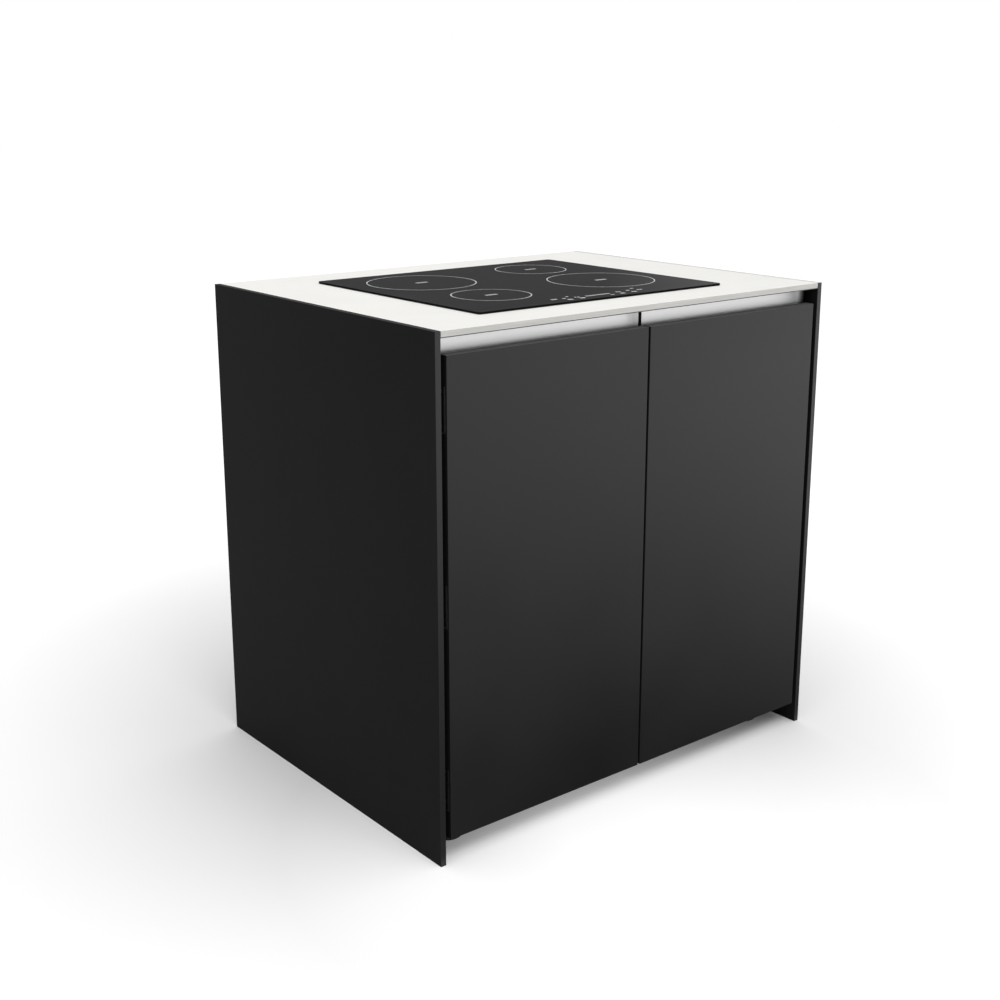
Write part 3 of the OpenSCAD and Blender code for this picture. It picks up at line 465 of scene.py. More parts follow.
def metal(kind):
    look = metals[kind]
    finish = Finish(kind, Metallic=look.get("metallic", 1.0))
    brush = finish.group("streaks", Stretch=look.get("stretch", (1.0, 1.0, 1.0)),
                         Scale=look["scale"], **metalGrain["brush"])
    patch = finish.group("streaks", **metalGrain["patch"])
    base = finish.mix(brush["Mask"], look["dark"], look["light"])
    base = finish.mix(finish.times(patch["Mask"], metalGrain["patchShare"]), base, look["dark"])
    # Painted shade on the caps: the black strip's shadow and the right cap's darkening front
    if "paintedCapShade" in look:
        base = finish.mix(middleFront(finish), base, look["paintedCapShade"])
        base = finish.mix(outerCapShade(finish), base, look["paintedCapShade"])
    if "spread" in look:
        along = addNode(finish.tree, "ShaderNodeCombineXYZ")
        along.inputs[0].default_value = 1.0
        finish.set(Anisotropic=look["spread"], Tangent=along.outputs[0])
    finish.set(Base_Color=base)
    finish.roughen(brush["Height"], look["rough"])
    finish.bump(brush["Height"], look["bump"], metalGrain["bumpDistance"])
    return finish.material


# Plastics, rubbers and boards: two near colours, a fine texture, a little dust
plains = {
    "blackPlastic": {
        "dark": (0.009, 0.009, 0.0095), "light": (0.016, 0.016, 0.017), "rough": (0.42, 0.55),
        "scale": 520.0, "bump": 0.25, "gloss": 0.4},
    "shadowStrip": {
        "dark": (0.003, 0.003, 0.003), "light": (0.005, 0.005, 0.005), "rough": (0.7, 0.8),
        "scale": 600.0, "bump": 0.1, "gloss": 0.03},
    "blackRubber": {
        "dark": (0.004, 0.004, 0.004), "light": (0.008, 0.008, 0.008), "rough": (0.7, 0.85),
        "scale": 800.0, "bump": 0.3, "gloss": 0.08},
    "clearRubber": {
        "dark": (0.5, 0.52, 0.54), "light": (0.64, 0.66, 0.68), "rough": (0.12, 0.25),
        "scale": 60.0, "bump": 0.03, "gloss": 0.5},
    "ferrite": {
        "dark": (0.05, 0.046, 0.043), "light": (0.09, 0.085, 0.08), "rough": (0.6, 0.75),
        "scale": 380.0, "bump": 0.3, "gloss": 0.3},
    "mica": {
        "dark": (0.58, 0.51, 0.34), "light": (0.78, 0.72, 0.54), "rough": (0.3, 0.5),
        "scale": 120.0, "bump": 0.12, "gloss": 0.5},
    "sensorCeramic": {
        "dark": (0.78, 0.78, 0.75), "light": (0.88, 0.88, 0.85), "rough": (0.25, 0.4),
        "scale": 200.0, "bump": 0.08, "gloss": 0.5},
    "circuitBoard": {
        "dark": (0.014, 0.1, 0.045), "light": (0.028, 0.19, 0.09), "rough": (0.25, 0.4),
        "scale": 240.0, "bump": 0.15, "gloss": 0.5},
    "palePlastic": {
        "dark": (0.68, 0.66, 0.6), "light": (0.78, 0.76, 0.7), "rough": (0.4, 0.55),
        "scale": 420.0, "bump": 0.12, "gloss": 0.4},
    "shieldBoard": {
        "dark": (0.28, 0.29, 0.29), "light": (0.4, 0.41, 0.41), "rough": (0.7, 0.85),
        "scale": 160.0, "bump": 0.3, "gloss": 0.25},
}
plainGrain = {
    "grain": {"Detail": 3.0, "Contrast": 0.26},
    "patch": {"Scale": 14.0, "Detail": 4.0, "Contrast": 0.3},
    "dust": {"Scale": 20.0, "Amount": 0.05}, "grainShare": 0.35, "bumpDistance": 0.0003,
}


def plain(kind):
    look = plains[kind]
    finish = Finish(kind, Specular_IOR_Level=look["gloss"])
    grain = finish.group("streaks", Scale=look["scale"], **plainGrain["grain"])
    patch = finish.group("streaks", **plainGrain["patch"])
    dust = finish.group("dust", **plainGrain["dust"])
    base = finish.mix(patch["Mask"], look["dark"], look["light"])
    base = finish.mix(finish.times(grain["Mask"], plainGrain["grainShare"]), base, look["dark"])
    finish.set(Base_Color=finish.mix(dust["Mask"], base, dustTone))
    finish.roughen(patch["Height"], look["rough"])
    finish.bump(grain["Height"], look["bump"], plainGrain["bumpDistance"])
    return finish.material


edge = {"grain": {"Scale": 420.0, "Detail": 3.0, "Contrast": 0.25}, "bump": (0.1, 0.0002),
        "rough": (0.55, 0.7)}
fired = {"grain": {"Scale": 240.0, "Detail": 3.0, "Contrast": 0.25}, "rough": (0.35, 0.5),
         "gloss": 0.3}

# Even finishes. The glass is polished, deep black, with a pressed micro-ripple and faint wipe
# marks. Narrow faces shine less than the broad ones. The print is fired on: pale and matt.
evens = {
    "hobGlass": {
        "dark": (0.004, 0.004, 0.0042), "light": (0.009, 0.009, 0.0095), "rough": (0.06, 0.12),
        "gloss": 0.5, "bump": (0.04, 0.0002),
        "grain": {"Stretch": (1.0, 3.0, 1.0), "Scale": 6.0, "Detail": 6.0, "Contrast": 0.22},
        "ripple": {"Scale": 160.0, "Detail": 1.0, "Contrast": 0.3}},
    "hobEdge": {
        **edge, "dark": (0.003, 0.003, 0.0032), "light": (0.006, 0.006, 0.0063), "gloss": 0.03},
    "doorEdge": {
        **edge, "dark": (0.010, 0.0102, 0.0108), "light": (0.015, 0.0152, 0.016), "gloss": 0.02},
    # The doors' top faces are painted paler than the doors: a painted highlight
    "paintedHighlightDoorTop": {
        **edge, "dark": (0.07, 0.0705, 0.072), "light": (0.085, 0.0855, 0.087), "gloss": 0.3},
    "panelEdge": {
        **edge, "dark": (0.0085, 0.0086, 0.009), "light": (0.0115, 0.0117, 0.0122),
        "rough": (0.38, 0.44), "gloss": 0.34},
    # The right panel's top face is painted pale: a painted sheen
    "paintedSheenPanelTop": {
        **edge, "dark": (0.60, 0.597, 0.585), "light": (0.66, 0.656, 0.645), "gloss": 0.05},
    "ringPrint": {**fired, "dark": (0.88, 0.88, 0.88), "light": (0.78, 0.78, 0.78)},
    "markPrint": {**fired, "dark": (0.80, 0.80, 0.80), "light": (0.66, 0.66, 0.66)},
}


# Two near colours mixed by one noise, which the roughness follows
def evenFinish(kind):
    look = evens[kind]
    finish = Finish(kind, Specular_IOR_Level=look["gloss"])
    grain = finish.group("streaks", **look["grain"])
    finish.set(Base_Color=finish.mix(grain["Mask"], look["dark"], look["light"]))
    finish.roughen(grain["Height"], look["rough"])
    if "bump" in look:
        relief = finish.group("streaks", **look["ripple"]) if "ripple" in look else grain
        finish.bump(relief["Height"], *look["bump"])
    return finish.material


finishes = {kind: metal(kind) for kind in metals}
finishes.update({kind: plain(kind) for kind in plains})
finishes["worktopStone"] = stoneFinish()
finishes.update({kind: evenFinish(kind) for kind in evens})
print("finishes:", len(finishes), "and the laminates, one for each board")


# Shapes are worked out in millimetres from here on

# The least angle of a sharp edge (degrees), how much large faces lead the shading, how near
# points merge and lie on a box (metres), the angle within one plane (radians), a rim's steps
meshing = {"sharp": 35, "weight": 80, "merge": 1e-6, "onBox": 2e-5, "plane": 0.02, "steps": 3}


# Turns rows and columns of points into faces: each cell joins its four neighbours, the last
# column joins the first, and the end rows are closed by one face each or joined to each other.
def gridFaces(rows, columns, joinRows=False):
    last = rows if joinRows else rows - 1
    row, column = np.meshgrid(np.arange(last), np.arange(columns), indexing="ij")
    nextRow, nextColumn = (row + 1) % rows, (column + 1) % columns
    corners = (row * columns + column, row * columns + nextColumn,
               nextRow * columns + nextColumn, nextRow * columns + column)
    faces = np.stack(corners, axis=-1).reshape(-1, 4).tolist()
    if not joinRows:
        faces.append(list(range(columns)))
        faces.append([(rows - 1) * columns + k for k in range(columns)])
    return faces


# Mesh object from arrays of points and their faces; several shells may share one piece
def putPiece(name, shells, material, sharp=meshing["sharp"]):
    points = np.concatenate([shell[0].reshape(-1, 3) for shell in shells]) * mm
    faces, offset = [], 0
    for shellPoints, shellFaces in shells:
        faces += [[index + offset for index in face] for face in shellFaces]
        offset += shellPoints.reshape(-1, 3).shape[0]
    mesh = bpy.data.meshes.new(name)
    mesh.from_pydata(points.tolist(), [], faces)
    work = bmesh.new()
    work.from_mesh(mesh)
    bmesh.ops.remove_doubles(work, verts=work.verts, dist=meshing["merge"])
    bmesh.ops.recalc_face_normals(work, faces=work.faces)
    work.to_mesh(mesh)
    work.free()
    return dress(name, mesh, material, sharp)


# Puts a mesh in the scene with its finish and even shading over its flat faces
def dress(name, mesh, material, sharp=meshing["sharp"]):
    mesh.shade_smooth()
    mesh.set_sharp_from_angle(angle=math.radians(sharp))
    mesh.materials.clear()
    mesh.materials.append(material)
    piece = bpy.data.objects.new(name, mesh)
    bpy.context.scene.collection.objects.link(piece)
    even = piece.modifiers.new("even shading", "WEIGHTED_NORMAL")
    even.keep_sharp = True
    even.weight = meshing["weight"]
    return piece


# Rectangle with round corners: a quarter circle at each corner, joined in turn. Gives the
# points and the outward direction at each.
def roundOutline(x0, x1, y0, y1, radius, steps=6):
    turn = np.linspace(0, np.pi / 2, steps + 1)
    angle = (np.arange(4)[:, None] * np.pi / 2 + turn[None, :]).ravel()
    out = np.stack([np.cos(angle), np.sin(angle)], axis=-1)
    centreX = np.repeat([x1 - radius, x0 + radius, x0 + radius, x1 - radius], steps + 1)
    centreY = np.repeat([y1 - radius, y1 - radius, y0 + radius, y0 + radius], steps + 1)
    return np.stack([centreX, centreY], axis=-1) + radius * out, out


# How a rim rounds off: the inset and the height along a quarter circle, from face to wall
def rimCurve(rim):
    turn = np.linspace(0, np.pi / 2, meshing["steps"] + 1)
    return rim * (1 - np.sin(turn)), rim * (1 - np.cos(turn))


# Flat board: its outline is carried through its thickness and drawn in along a quarter circle
# at both faces. The thickness runs along the given axis.
def boardShell(low, high, axis, corner, rim, cornerSteps=4):
    first, second = (axis + 1) % 3, (axis + 2) % 3
    outline, out = roundOutline(low[first], high[first], low[second], high[second], corner,
                                cornerSteps)
    inset, rise = rimCurve(rim)
    insets = np.concatenate([inset, inset[::-1]])
    heights = np.concatenate([low[axis] + rise, high[axis] - rise[::-1]])
    points = np.empty((len(insets), len(outline), 3))
    points[..., [first, second]] = outline[None] - insets[:, None, None] * out[None]
    points[..., axis] = heights[:, None]
    return points, gridFaces(*points.shape[:2])


def board(name, low, high, axis, corner, rim, material):
    return putPiece(name, [boardShell(low, high, axis, corner, rim)], material)


# Slab with an opening: one closed section, out across the top, down the rounded outer wall,
# back below and up the opening's wall, carried once round between the two outlines.
def openSlab(name, outer, inner, z0, z1, rim, lowRim, material):
    inset, rise = rimCurve(rim)
    lowInset, lowRise = rimCurve(lowRim)
    down = np.concatenate([z1 - rise, z0 + lowRise[::-1]])
    up = down[::-1]
    insets = np.concatenate([inset, lowInset[::-1]])
    outerRows = outer[0][None] - insets[:, None, None] * outer[1][None]
    innerRows = inner[0][None] + insets[::-1, None, None] * inner[1][None]
    flat = np.concatenate([outerRows, innerRows])
    points = np.empty(flat.shape[:2] + (3,))
    points[..., :2] = flat
    points[..., 2] = np.concatenate([down, up])[:, None]
    return putPiece(name, [(points, gridFaces(*points.shape[:2], joinRows=True))], material)


# Turned shape: a profile of radius and height carried once round an upright centre line
def turnedShell(profile, centre, sides):
    profile = np.asarray(profile, float)
    angle = np.linspace(0, 2 * np.pi, sides, endpoint=False)
    points = np.empty((len(profile), sides, 3))
    points[..., 0] = centre[0] + profile[:, :1] * np.cos(angle)[None]
    points[..., 1] = centre[1] + profile[:, :1] * np.sin(angle)[None]
    points[..., 2] = centre[2] + profile[:, 1:2]
    return points, gridFaces(*points.shape[:2])


# Screw thread: the radius falls and rises as a triangle wave of height less the angle's share
# of one pitch, so the ridge climbs one pitch in a turn
def threadShell(radius, depth, pitch, z0, z1, centre, sides=20, perPitch=6):
    height = np.linspace(z0, z1, int((z1 - z0) / pitch * perPitch) + 1)[:, None]
    angle = np.linspace(0, 2 * np.pi, sides, endpoint=False)[None]
    phase = (height / pitch - angle / (2 * np.pi)) % 1.0
    radii = radius - depth * np.abs(2 * phase - 1)
    points = np.stack([centre[0] + radii * np.cos(angle), centre[1] + radii * np.sin(angle),
                       np.broadcast_to(height, radii.shape)], axis=-1)
    return points, gridFaces(*points.shape[:2])


# Sheet of even thickness: a centre line in y and z is moved half the thickness to both sides
# along its own normal, its ends are rounded, and the outline is carried along x
def foldedSheet(name, line, thickness, x0, x1, material, endSteps=6, sharp=50):
    along = np.gradient(line, axis=0)
    along /= np.linalg.norm(along, axis=1, keepdims=True)
    side = np.stack([-along[:, 1], along[:, 0]], axis=-1) * thickness / 2
    turn = np.linspace(0, np.pi, endSteps + 1)[1:-1, None]
    tail = line[-1] + np.cos(turn) * side[-1] + np.sin(turn) * along[-1] * thickness / 2
    head = line[0] - np.cos(turn) * side[0] - np.sin(turn) * along[0] * thickness / 2
    outline = np.concatenate([line + side, tail, (line - side)[::-1], head])
    points = np.empty((2, len(outline), 3))
    points[..., 0] = np.array([x0, x1])[:, None]
    points[..., 1:] = outline[None]
    return putPiece(name, [(points, gridFaces(*points.shape[:2]))], material, sharp)


# A merged copy of a solid with its long outer edges rounded: every edge that lies on two
# faces of the solid's own box
def eased(node, width, material):
    mesh = nodes[node].data.copy()
    work = bmesh.new()
    work.from_mesh(mesh)
    bmesh.ops.remove_doubles(work, verts=work.verts, dist=meshing["merge"])
    bmesh.ops.dissolve_limit(work, angle_limit=meshing["plane"], verts=work.verts,
                             edges=work.edges)
    low, high = (np.array(corner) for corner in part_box(node))
    ends = np.array([[vert.co[:] for vert in edge.verts] for edge in work.edges])
    onLow = np.all(np.abs(ends - low) < meshing["onBox"], axis=1)
    onHigh = np.all(np.abs(ends - high) < meshing["onBox"], axis=1)
    chosen = (onLow | onHigh).sum(axis=1) >= 2
    edges = [edge for edge, wanted in zip(work.edges, chosen) if wanted]
    bmesh.ops.bevel(work, geom=edges, offset=width * mm, segments=meshing["steps"], profile=0.5,
                    affect="EDGES", clamp_overlap=False)
    bmesh.ops.recalc_face_normals(work, faces=work.faces)
    work.to_mesh(mesh)
    work.free()
    mesh.name = node + ".eased"
    return dress(node + ".eased", mesh, material)


# Which way the faces look along one axis
def facing(piece, axis):
    normals = np.empty(len(piece.data.polygons) * 3)
    piece.data.polygons.foreach_get("normal", normals)
    return normals[axis::3]


# Gives the chosen faces a finish of their own
def finishFaces(piece, material, chosen):
    slots = np.empty(len(chosen), dtype=np.int32)
    piece.data.polygons.foreach_get("material_index", slots)
    slots[chosen] = len(piece.data.materials)
    piece.data.materials.append(material)
    piece.data.polygons.foreach_set("material_index", slots)


def settle(piece, body, slotName, *replaced):
    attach(piece, body)
    if replaced:
        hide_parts(*replaced)


def corners(node):
    low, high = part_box(node)
    return np.array(low) / mm, np.array(high) / mm


# Side panels: a tiny rounding along the edges, and from which share of the direction a face is
# an end or the top. The right one's top face is painted pale: a painted sheen.
panels = {"rim": 0.5, "corner": 0.6, "end": 0.5, "top": 0.8, "paintedSheenTop": "side_panel_right"}


def makePanels():
    for node in ("side_panel_left", "side_panel_right"):
        low, high = corners(node)
        piece = board(node + ".board", low, high, 0, panels["corner"], panels["rim"],
                      laminate("blackPanel", node))
        finishFaces(piece, finishes["panelEdge"], np.abs(facing(piece, 1)) > panels["end"])
        # The right panel's top face gets a pale finish: a painted sheen
        if node == panels["paintedSheenTop"]:
            finishFaces(piece, finishes["paintedSheenPanelTop"], facing(piece, 2) > panels["top"])
        settle(piece, "cabinet", "black_panel", node)


# Worktop: its rims and corners, and how far the hob's glass laps over the cut-out
worktopLook = {"rim": 0.8, "lowRim": 2.0, "corner": 1.2, "cutoutCorner": 10, "lapSide": 16,
               "lapEnd": 15}


def makeWorktop():
    low, high = corners("worktop")
    glassLow, glassHigh = corners("hob_glass")
    side, end = worktopLook["lapSide"], worktopLook["lapEnd"]
    outer = roundOutline(low[0], high[0], low[1], high[1], worktopLook["corner"])
    inner = roundOutline(glassLow[0] + side, glassHigh[0] - side, glassLow[1] + end,
                         glassHigh[1] - end, worktopLook["cutoutCorner"])
    piece = openSlab("worktop.slab", outer, inner, low[2], high[2], worktopLook["rim"],
                     worktopLook["lowRim"], finishes["worktopStone"])
    settle(piece, "cabinet", "worktop_stone", "worktop")


# Doors: the rounding of their edges, and which share of the direction makes a face a narrow
# one or the top
doorLook = {"rim": 0.7, "narrow": 0.2, "top": 0.6}


def makeDoors():
    for side in ("left", "right"):
        node = "door_" + side
        piece = eased(node, doorLook["rim"], laminate("doorLaminate", node))
        finishFaces(piece, finishes["doorEdge"], np.abs(facing(piece, 1)) < doorLook["narrow"])
        # The top faces get a paler finish: a painted highlight
        finishFaces(piece, finishes["paintedHighlightDoorTop"], facing(piece, 2) > doorLook["top"])
        settle(piece, side + "_door", "door_laminate", node)


makePanels()
makeWorktop()
makeDoors()
print("boards and doors made")


# Grip channel: two lengths of folded sheet and the strip between them
channel = {"thickness": 1.5, "cove": 14, "lean": 3.8, "bend": 2, "lip": 8, "divider": 0.4,
           "gap": 0.3, "coveSteps": 12, "bendSteps": 6}


# Centre line of the sheet: down the back, which leans a little, round a quarter ellipse, forward
# along the ledge, round the small bend and down the lip
def channelLine(low, high):
    half = channel["thickness"] / 2
    back, front = high[1] - half, low[1] + half
    ledge = low[2] + channel["lip"] + half
    cove, bend = channel["cove"] - half, channel["bend"]
    turn = np.linspace(0, np.pi / 2, channel["coveSteps"] + 1)[:, None]
    sweep = np.hstack([(cove - channel["lean"]) * np.cos(turn), -cove * np.sin(turn)])
    curve = np.array([back - cove, ledge + cove]) + sweep
    small = np.linspace(0, np.pi / 2, channel["bendSteps"] + 1)[:, None]
    quarter = bend * np.hstack([-np.sin(small), np.cos(small)])
    fold = np.array([front + bend, ledge - bend]) + quarter
    wall = np.array([[back, high[2] - channel["gap"] - half]])
    tip = np.array([[front, low[2] + half]])
    return np.concatenate([wall, curve, fold, tip])


def makeChannels():
    for side in ("left", "right"):
        node = "grip_channel_" + side
        low, high = corners(node)
        piece = foldedSheet(node + ".sheet", channelLine(low, high), channel["thickness"],
                            low[0], high[0], finishes["brushedChannel"])
        settle(piece, "cabinet", "brushed_channel", node)
    low, high = corners("channel_divider")
    rim = channel["divider"]
    piece = board("channel_divider.strip", low, high, 0, rim, rim, finishes["shadowStrip"])
    settle(piece, "cabinet", "black_plastic", "channel_divider")


makeChannels()
print("grip channel made")


# Levelling feet: thread radius, pitch and depth, the pad with its collar and the nut as
# profiles of radius and height, and the sides of each
foot = {
    "thread": 5.0, "pitch": 1.5, "depth": 0.75, "padSides": 64, "nutSides": 6, "sharp": 40,
    "pad": [(0, 0), (26.2, 0), (27.4, 0.35), (28, 1.2), (28, 4.6), (27.6, 5.6), (25.6, 7.6),
            (24.6, 8), (12.4, 9), (11.2, 9.6), (9.6, 13.8), (8.8, 14.8), (0, 14.8)],
    "nut": [(0, 14), (8.2, 14), (9, 14.6), (9, 21.2), (8.2, 22), (0, 22)],
}


# Pad and collar turned in one profile, a hexagonal nut on them, and the thread above
def makeFeet():
    nutTop = foot["nut"][-1][1]
    for place in ("front_left", "front_right", "back_left", "back_right"):
        node = "foot_" + place
        low, high = corners(node)
        centre = ((low[0] + high[0]) / 2, (low[1] + high[1]) / 2, 0)
        shells = [turnedShell(foot["pad"], centre, foot["padSides"]),
                  turnedShell(foot["nut"], centre, foot["nutSides"]),
                  threadShell(foot["thread"], foot["depth"], foot["pitch"], nutTop, high[2],
                              centre)]
        piece = putPiece(node + ".turned", shells, finishes["blackPlastic"], foot["sharp"])
        settle(piece, node, "black_plastic", node)


makeFeet()
print("feet made")


# The print lies in the top 0.03 mm of the glass's height, so the glass itself stops just below.
# A face that looks up or down by less than the side share belongs to the edge.
hob = {"corner": 6, "rim": 0.6, "printHeight": 0.03, "glassTop": 934.44, "side": 0.8}

# Zones from the hob's middle: x, y and the printed ring's radius
hobCentre = np.array([-14.5, -13.0])
zoneSpots = [(-149.5, 113, 106.4), (-149.5, -103, 74.5), (149.5, -71.5, 106.4),
             (149.5, 142.5, 74.5)]
rings = {"pitch": 4.4, "dash": 2.8, "width": 2.2}
zoneMarks = {"count": 6, "pitch": 4.6, "width": 2.6, "depth": 9}


def makeGlass():
    low, high = corners("hob_glass")
    high[2] = hob["glassTop"]
    piece = board("hob_glass.plate", low, high, 2, hob["corner"], hob["rim"], finishes["hobGlass"])
    finishFaces(piece, finishes["hobEdge"], np.abs(facing(piece, 2)) < hob["side"])
    settle(piece, "cabinet", "hob_glass", "hob_glass")


# Flat marks as thin closed blocks: each outline of four points is raised by the print's height
def markShells(quads):
    quads = np.asarray(quads, float)
    count = len(quads)
    points = np.empty((count, 8, 3))
    points[..., :2] = np.concatenate([quads, quads], axis=1)
    points[:, :4, 2] = hob["glassTop"]
    points[:, 4:, 2] = hob["glassTop"] + hob["printHeight"]
    block = np.array([[0, 3, 2, 1], [4, 5, 6, 7], [0, 1, 5, 4], [1, 2, 6, 5], [2, 3, 7, 6],
                      [3, 0, 4, 7]])
    faces = (np.arange(count)[:, None, None] * 8 + block[None]).reshape(-1, 4).tolist()
    return points, faces


# Dashes round a circle: each spans a share of one pitch in angle and the line's width in radius
def ringQuads(centre, radius):
    count = int(round(2 * np.pi * radius / rings["pitch"]))
    middle = np.arange(count) * 2 * np.pi / count
    half = np.pi / count * rings["dash"] / rings["pitch"]
    angle = middle[:, None] + half * np.array([-1, 1, 1, -1])[None]
    reach = radius + rings["width"] * np.array([0, 0, -1, -1])[None]
    across, along = reach * np.cos(angle), reach * np.sin(angle)
    return np.stack([centre[0] + across, centre[1] + along], axis=-1)


# Bars given by their middle, width and depth, as outlines of four points
def barQuads(bars):
    x, y, width, depth = (part[:, None] for part in np.asarray(bars, float).T)
    signX, signY = np.array([-1, 1, 1, -1]), np.array([-1, -1, 1, 1])
    return np.stack([x + signX * width / 2, y + signY * depth / 2], axis=-1)


# Bars at the zones' middles: short strokes in a row, spread evenly to both sides
def zoneBars():
    steps = np.arange(zoneMarks["count"]) - (zoneMarks["count"] - 1) / 2
    return [(hobCentre[0] + x + step * zoneMarks["pitch"], hobCentre[1] + y,
             zoneMarks["width"], zoneMarks["depth"])
            for x, y, radius in zoneSpots for step in steps]


# Touch field: plain strokes, dots and a scale, at the places where the finger goes. The scale is
# its first and last x, the number of its ticks, their y, width and depth.
touch = {
    "strokes": [
        (-117.5, -231, 7, 2.6), (-117.5, -235.5, 7, 2.6), (-110.5, -233, 3.2, 7),
        (-94, -235, 6, 3), (-89.5, -234, 2.2, 5), (-73, -220, 5, 4), (-93, -249, 4.5, 7.5),
        (-88, -251, 4, 7), (-66, -235.5, 4.5, 4), (-60.5, -237.5, 5, 4.5),
        (-64, -248.5, 4.5, 6.5), (-58.5, -250, 5, 7), (11, -251, 9, 3), (40, -231, 4, 6.5),
        (45, -233, 3.6, 6), (35.5, -249, 4.5, 6.5), (40.5, -250, 4.5, 6.5), (70, -228.5, 8, 4),
        (95, -213, 8, 3.4), (67.5, -245, 4, 7), (72.5, -247, 4, 6), (92.5, -233, 4, 6),
        (98.5, -234, 6, 4)],
    "scale": (-41, 14, 15, -237, 2.0, 7.5),
}


def makePrint():
    quads = [ringQuads(hobCentre + np.array([x, y]), radius) for x, y, radius in zoneSpots]
    piece = putPiece("hob_print.rings", [markShells(np.concatenate(quads))],
                     finishes["ringPrint"])
    settle(piece, "cabinet", "hob_glass")
    start, stop, count, *tick = touch["scale"]
    ticks = [(x, *tick) for x in np.linspace(start, stop, count)]
    bars = barQuads(zoneBars() + touch["strokes"] + ticks)
    piece = putPiece("hob_print.marks", [markShells(bars)], finishes["markPrint"])
    settle(piece, "cabinet", "hob_glass")


makeGlass()
makePrint()
print("hob made")


# The solids that stay as they are, by their finish
kept = {
    "carcassBoard": [
        "carcass_side_left", "carcass_side_right", "carcass_bottom", "carcass_back",
        "centre_partition", "front_rail", "rear_rail", "shield_cleats", "shelf_left",
        "shelf_right"],
    "blackPanel": ["rear_panel"],
    "blackBoard": ["panel_spacers"],
    "capSteel": ["channel_end_caps"],
    "pinSteel": ["shelf_pins"],
    "blackMetal": [
        "frame_leaves", "door_leaves_left", "door_leaves_right", "strike_plate_left",
        "strike_plate_right", "hinge_pins_left", "hinge_pins_right"],
    "screwZinc": [
        "channel_screws", "frame_leaf_screws", "carcass_screws", "panel_screws",
        "leaf_screws_left", "leaf_screws_right"],
    "blackPlastic": [
        "foot_sockets", "door_magnets", "cable_grommet", "fan_housing", "fan_rotor",
        "cable_gland"],
    "clearRubber": ["door_buffers"],
    "blackRubber": ["hob_seal"],
    "galvanisedSheet": ["hob_casing", "hob_clips"],
    "aluminiumSheet": ["coil_plate", "heat_sinks"],
    "ferrite": ["coil_carriers"],
    "coilCopper": ["induction_coils"],
    "mica": ["mica_sheets"],
    "sensorCeramic": ["zone_sensors"],
    "circuitBoard": ["touch_board", "power_boards"],
    "palePlastic": ["terminal_block"],
    "shieldBoard": ["heat_shield"],
}


def dressSolids():
    for kind, names in kept.items():
        for name in names:
            node = nodes[name]
            material = laminate(kind, name) if kind in laminates else finishes[kind]
            node.data.materials.clear()
            node.data.materials.append(material)


dressSolids()
print("solids dressed")


white, black = (1.0, 1.0, 1.0), (0.0, 0.0, 0.0)

# Floor and surroundings: how white the floor looks near the unit, before it and far off. The glow
# is lower near the unit, painted shade round it, and the spot before it is a painted pool of
# light.
stageLook = {
    "size": 30, "floorColour": (0.85, 0.85, 0.85), "floorRough": 0.9, "nearGlow": 0.0,
    "farGlow": 0.28, "near": 0.6, "far": 1.8, "horizon": 0.20, "zenith": 1.35,
    "paintedPoolGlow": 0.30, "paintedPoolSpot": (-0.13, -0.46, 0.0), "paintedPoolReach": (0.1, 0.62),
}


# One for rays that show something to the camera, also by reflection, and none for light
def seenShare(tree):
    path = addNode(tree, "ShaderNodeLightPath").outputs
    rays = (path["Is " + kind + " Ray"] for kind in ("Camera", "Glossy", "Transmission"))
    return mathsOfThree(tree, "MAXIMUM", *rays)


# White for the camera and for reflections; as light, brighter from above than from the sides
def makeWorld():
    world = bpy.data.worlds.new("studio")
    bpy.context.scene.world = world
    world.use_nodes = True
    tree = world.node_tree
    back = tree.nodes["Background"]
    height = split(tree, addNode(tree, "ShaderNodeTexCoord").outputs["Generated"])[2]
    light = remap(tree, height, 0.0, 1.0, stageLook["horizon"], stageLook["zenith"])
    strength = addNode(tree, "ShaderNodeMix")
    for index, value in ((0, seenShare(tree)), (2, light), (3, 1.0)):
        feed(tree, strength.inputs[index], value)
    feed(tree, back.inputs["Color"], white)
    feed(tree, back.inputs["Strength"], strength.outputs[0])


# One flat face through four corners, for the stage
def stageFace(name, points, material):
    mesh = bpy.data.meshes.new(name)
    mesh.from_pydata([tuple(point) for point in points], [], [(0, 1, 2, 3)])
    mesh.materials.append(material)
    piece = bpy.data.objects.new(name, mesh)
    bpy.context.scene.collection.objects.link(piece)
    return piece


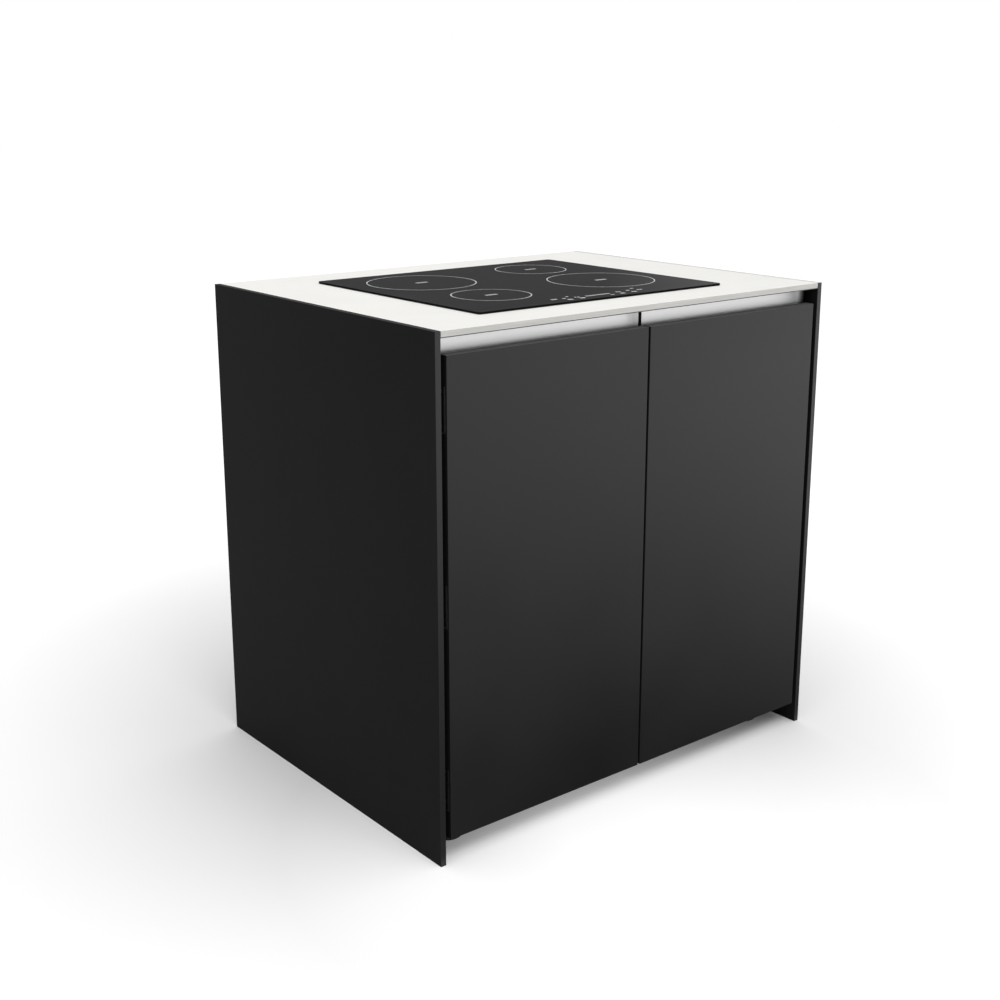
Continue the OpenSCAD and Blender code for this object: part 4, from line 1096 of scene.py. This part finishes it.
def makeFloor():
    look, size = stageLook, stageLook["size"]
    finish = Finish("floorWhite", Roughness=look["floorRough"], Specular_IOR_Level=0.0)
    tree, place = finish.tree, finish.place
    # The glow rises away from the unit: painted shade round it
    reach = vectorMaths(tree, "DISTANCE", place, (0.0, 0.0, 0.0))
    glow = finish.range(reach, look["nearGlow"], look["farGlow"], look["near"], look["far"])
    # A painted pool of light on the floor before the unit
    before = vectorMaths(tree, "DISTANCE", place, look["paintedPoolSpot"])
    spot = finish.range(before, look["paintedPoolGlow"], 0.0, *look["paintedPoolReach"])
    glow = maths(tree, "ADD", glow, spot)
    finish.set(Base_Color=look["floorColour"], Emission_Color=white,
               Emission_Strength=finish.times(seenShare(tree), glow))
    points = [(-size, -size, 0), (size, -size, 0), (size, size, 0), (-size, size, 0)]
    stageFace("floor", points, finish.material)


lamps = {
    "front": {"place": (2.2, -2.6, 0.8), "aim": (0, -0.3, 0.6), "size": (3.0, 1.4), "power": 6.5},
    "above": {"place": (-0.4, -2.6, 3.4), "aim": (0, -0.9, 0), "size": (2.4, 1.6), "power": 46},
}


def makeLamps():
    for name, look in lamps.items():
        data = bpy.data.lights.new(name, "AREA")
        data.shape = "RECTANGLE"
        data.size, data.size_y = look["size"]
        data.energy = look["power"]
        lamp = bpy.data.objects.new(name, data)
        bpy.context.scene.collection.objects.link(lamp)
        lamp.location = look["place"]
        away = Vector(look["aim"]) - Vector(look["place"])
        lamp.rotation_euler = away.to_track_quat("-Z", "Y").to_euler()


# Cards that only reflections see: a grey one behind the unit, paler at its right-hand end, so
# that the glass stays dark, and one lying before it, dark at the unit's foot and paler further
# off, so that the doors fade downwards. A card is a corner and its two sides; its glow goes from
# the first value to the second between the two distances from a spot.
cards = {
    "behind": {
        "corner": (3.911, 1.403, 0.55), "across": (-3.222, 2.695, 0), "along": (0, 0, 1.6),
        "spot": (3.911, 1.403, 1.4), "reach": (1.15, 1.75), "glow": (0.20, 0.093)},
    "before": {
        "corner": (-4.0, -0.37, 0.004), "across": (10.0, 0, 0), "along": (0, -4.6, 0),
        "spot": (0, -0.4, 0), "reach": (0.2, 3.1), "glow": (0.05, 1.88)},
}


def makeCards():
    for name, look in cards.items():
        corner, across, along = (np.array(look[key]) for key in ("corner", "across", "along"))
        finish = Finish("card." + name, Base_Color=black, Specular_IOR_Level=0.0,
                        Emission_Color=white)
        away = vectorMaths(finish.tree, "DISTANCE", finish.place, look["spot"])
        finish.set(Emission_Strength=finish.range(away, *look["glow"], *look["reach"]))
        points = [corner, corner + across, corner + across + along, corner + along]
        piece = stageFace(name, points, finish.material)
        for ray in ("camera", "diffuse", "transmission", "shadow"):
            setattr(piece, "visible_" + ray, False)


makeWorld()
makeFloor()
makeLamps()
makeCards()
print("stage set")
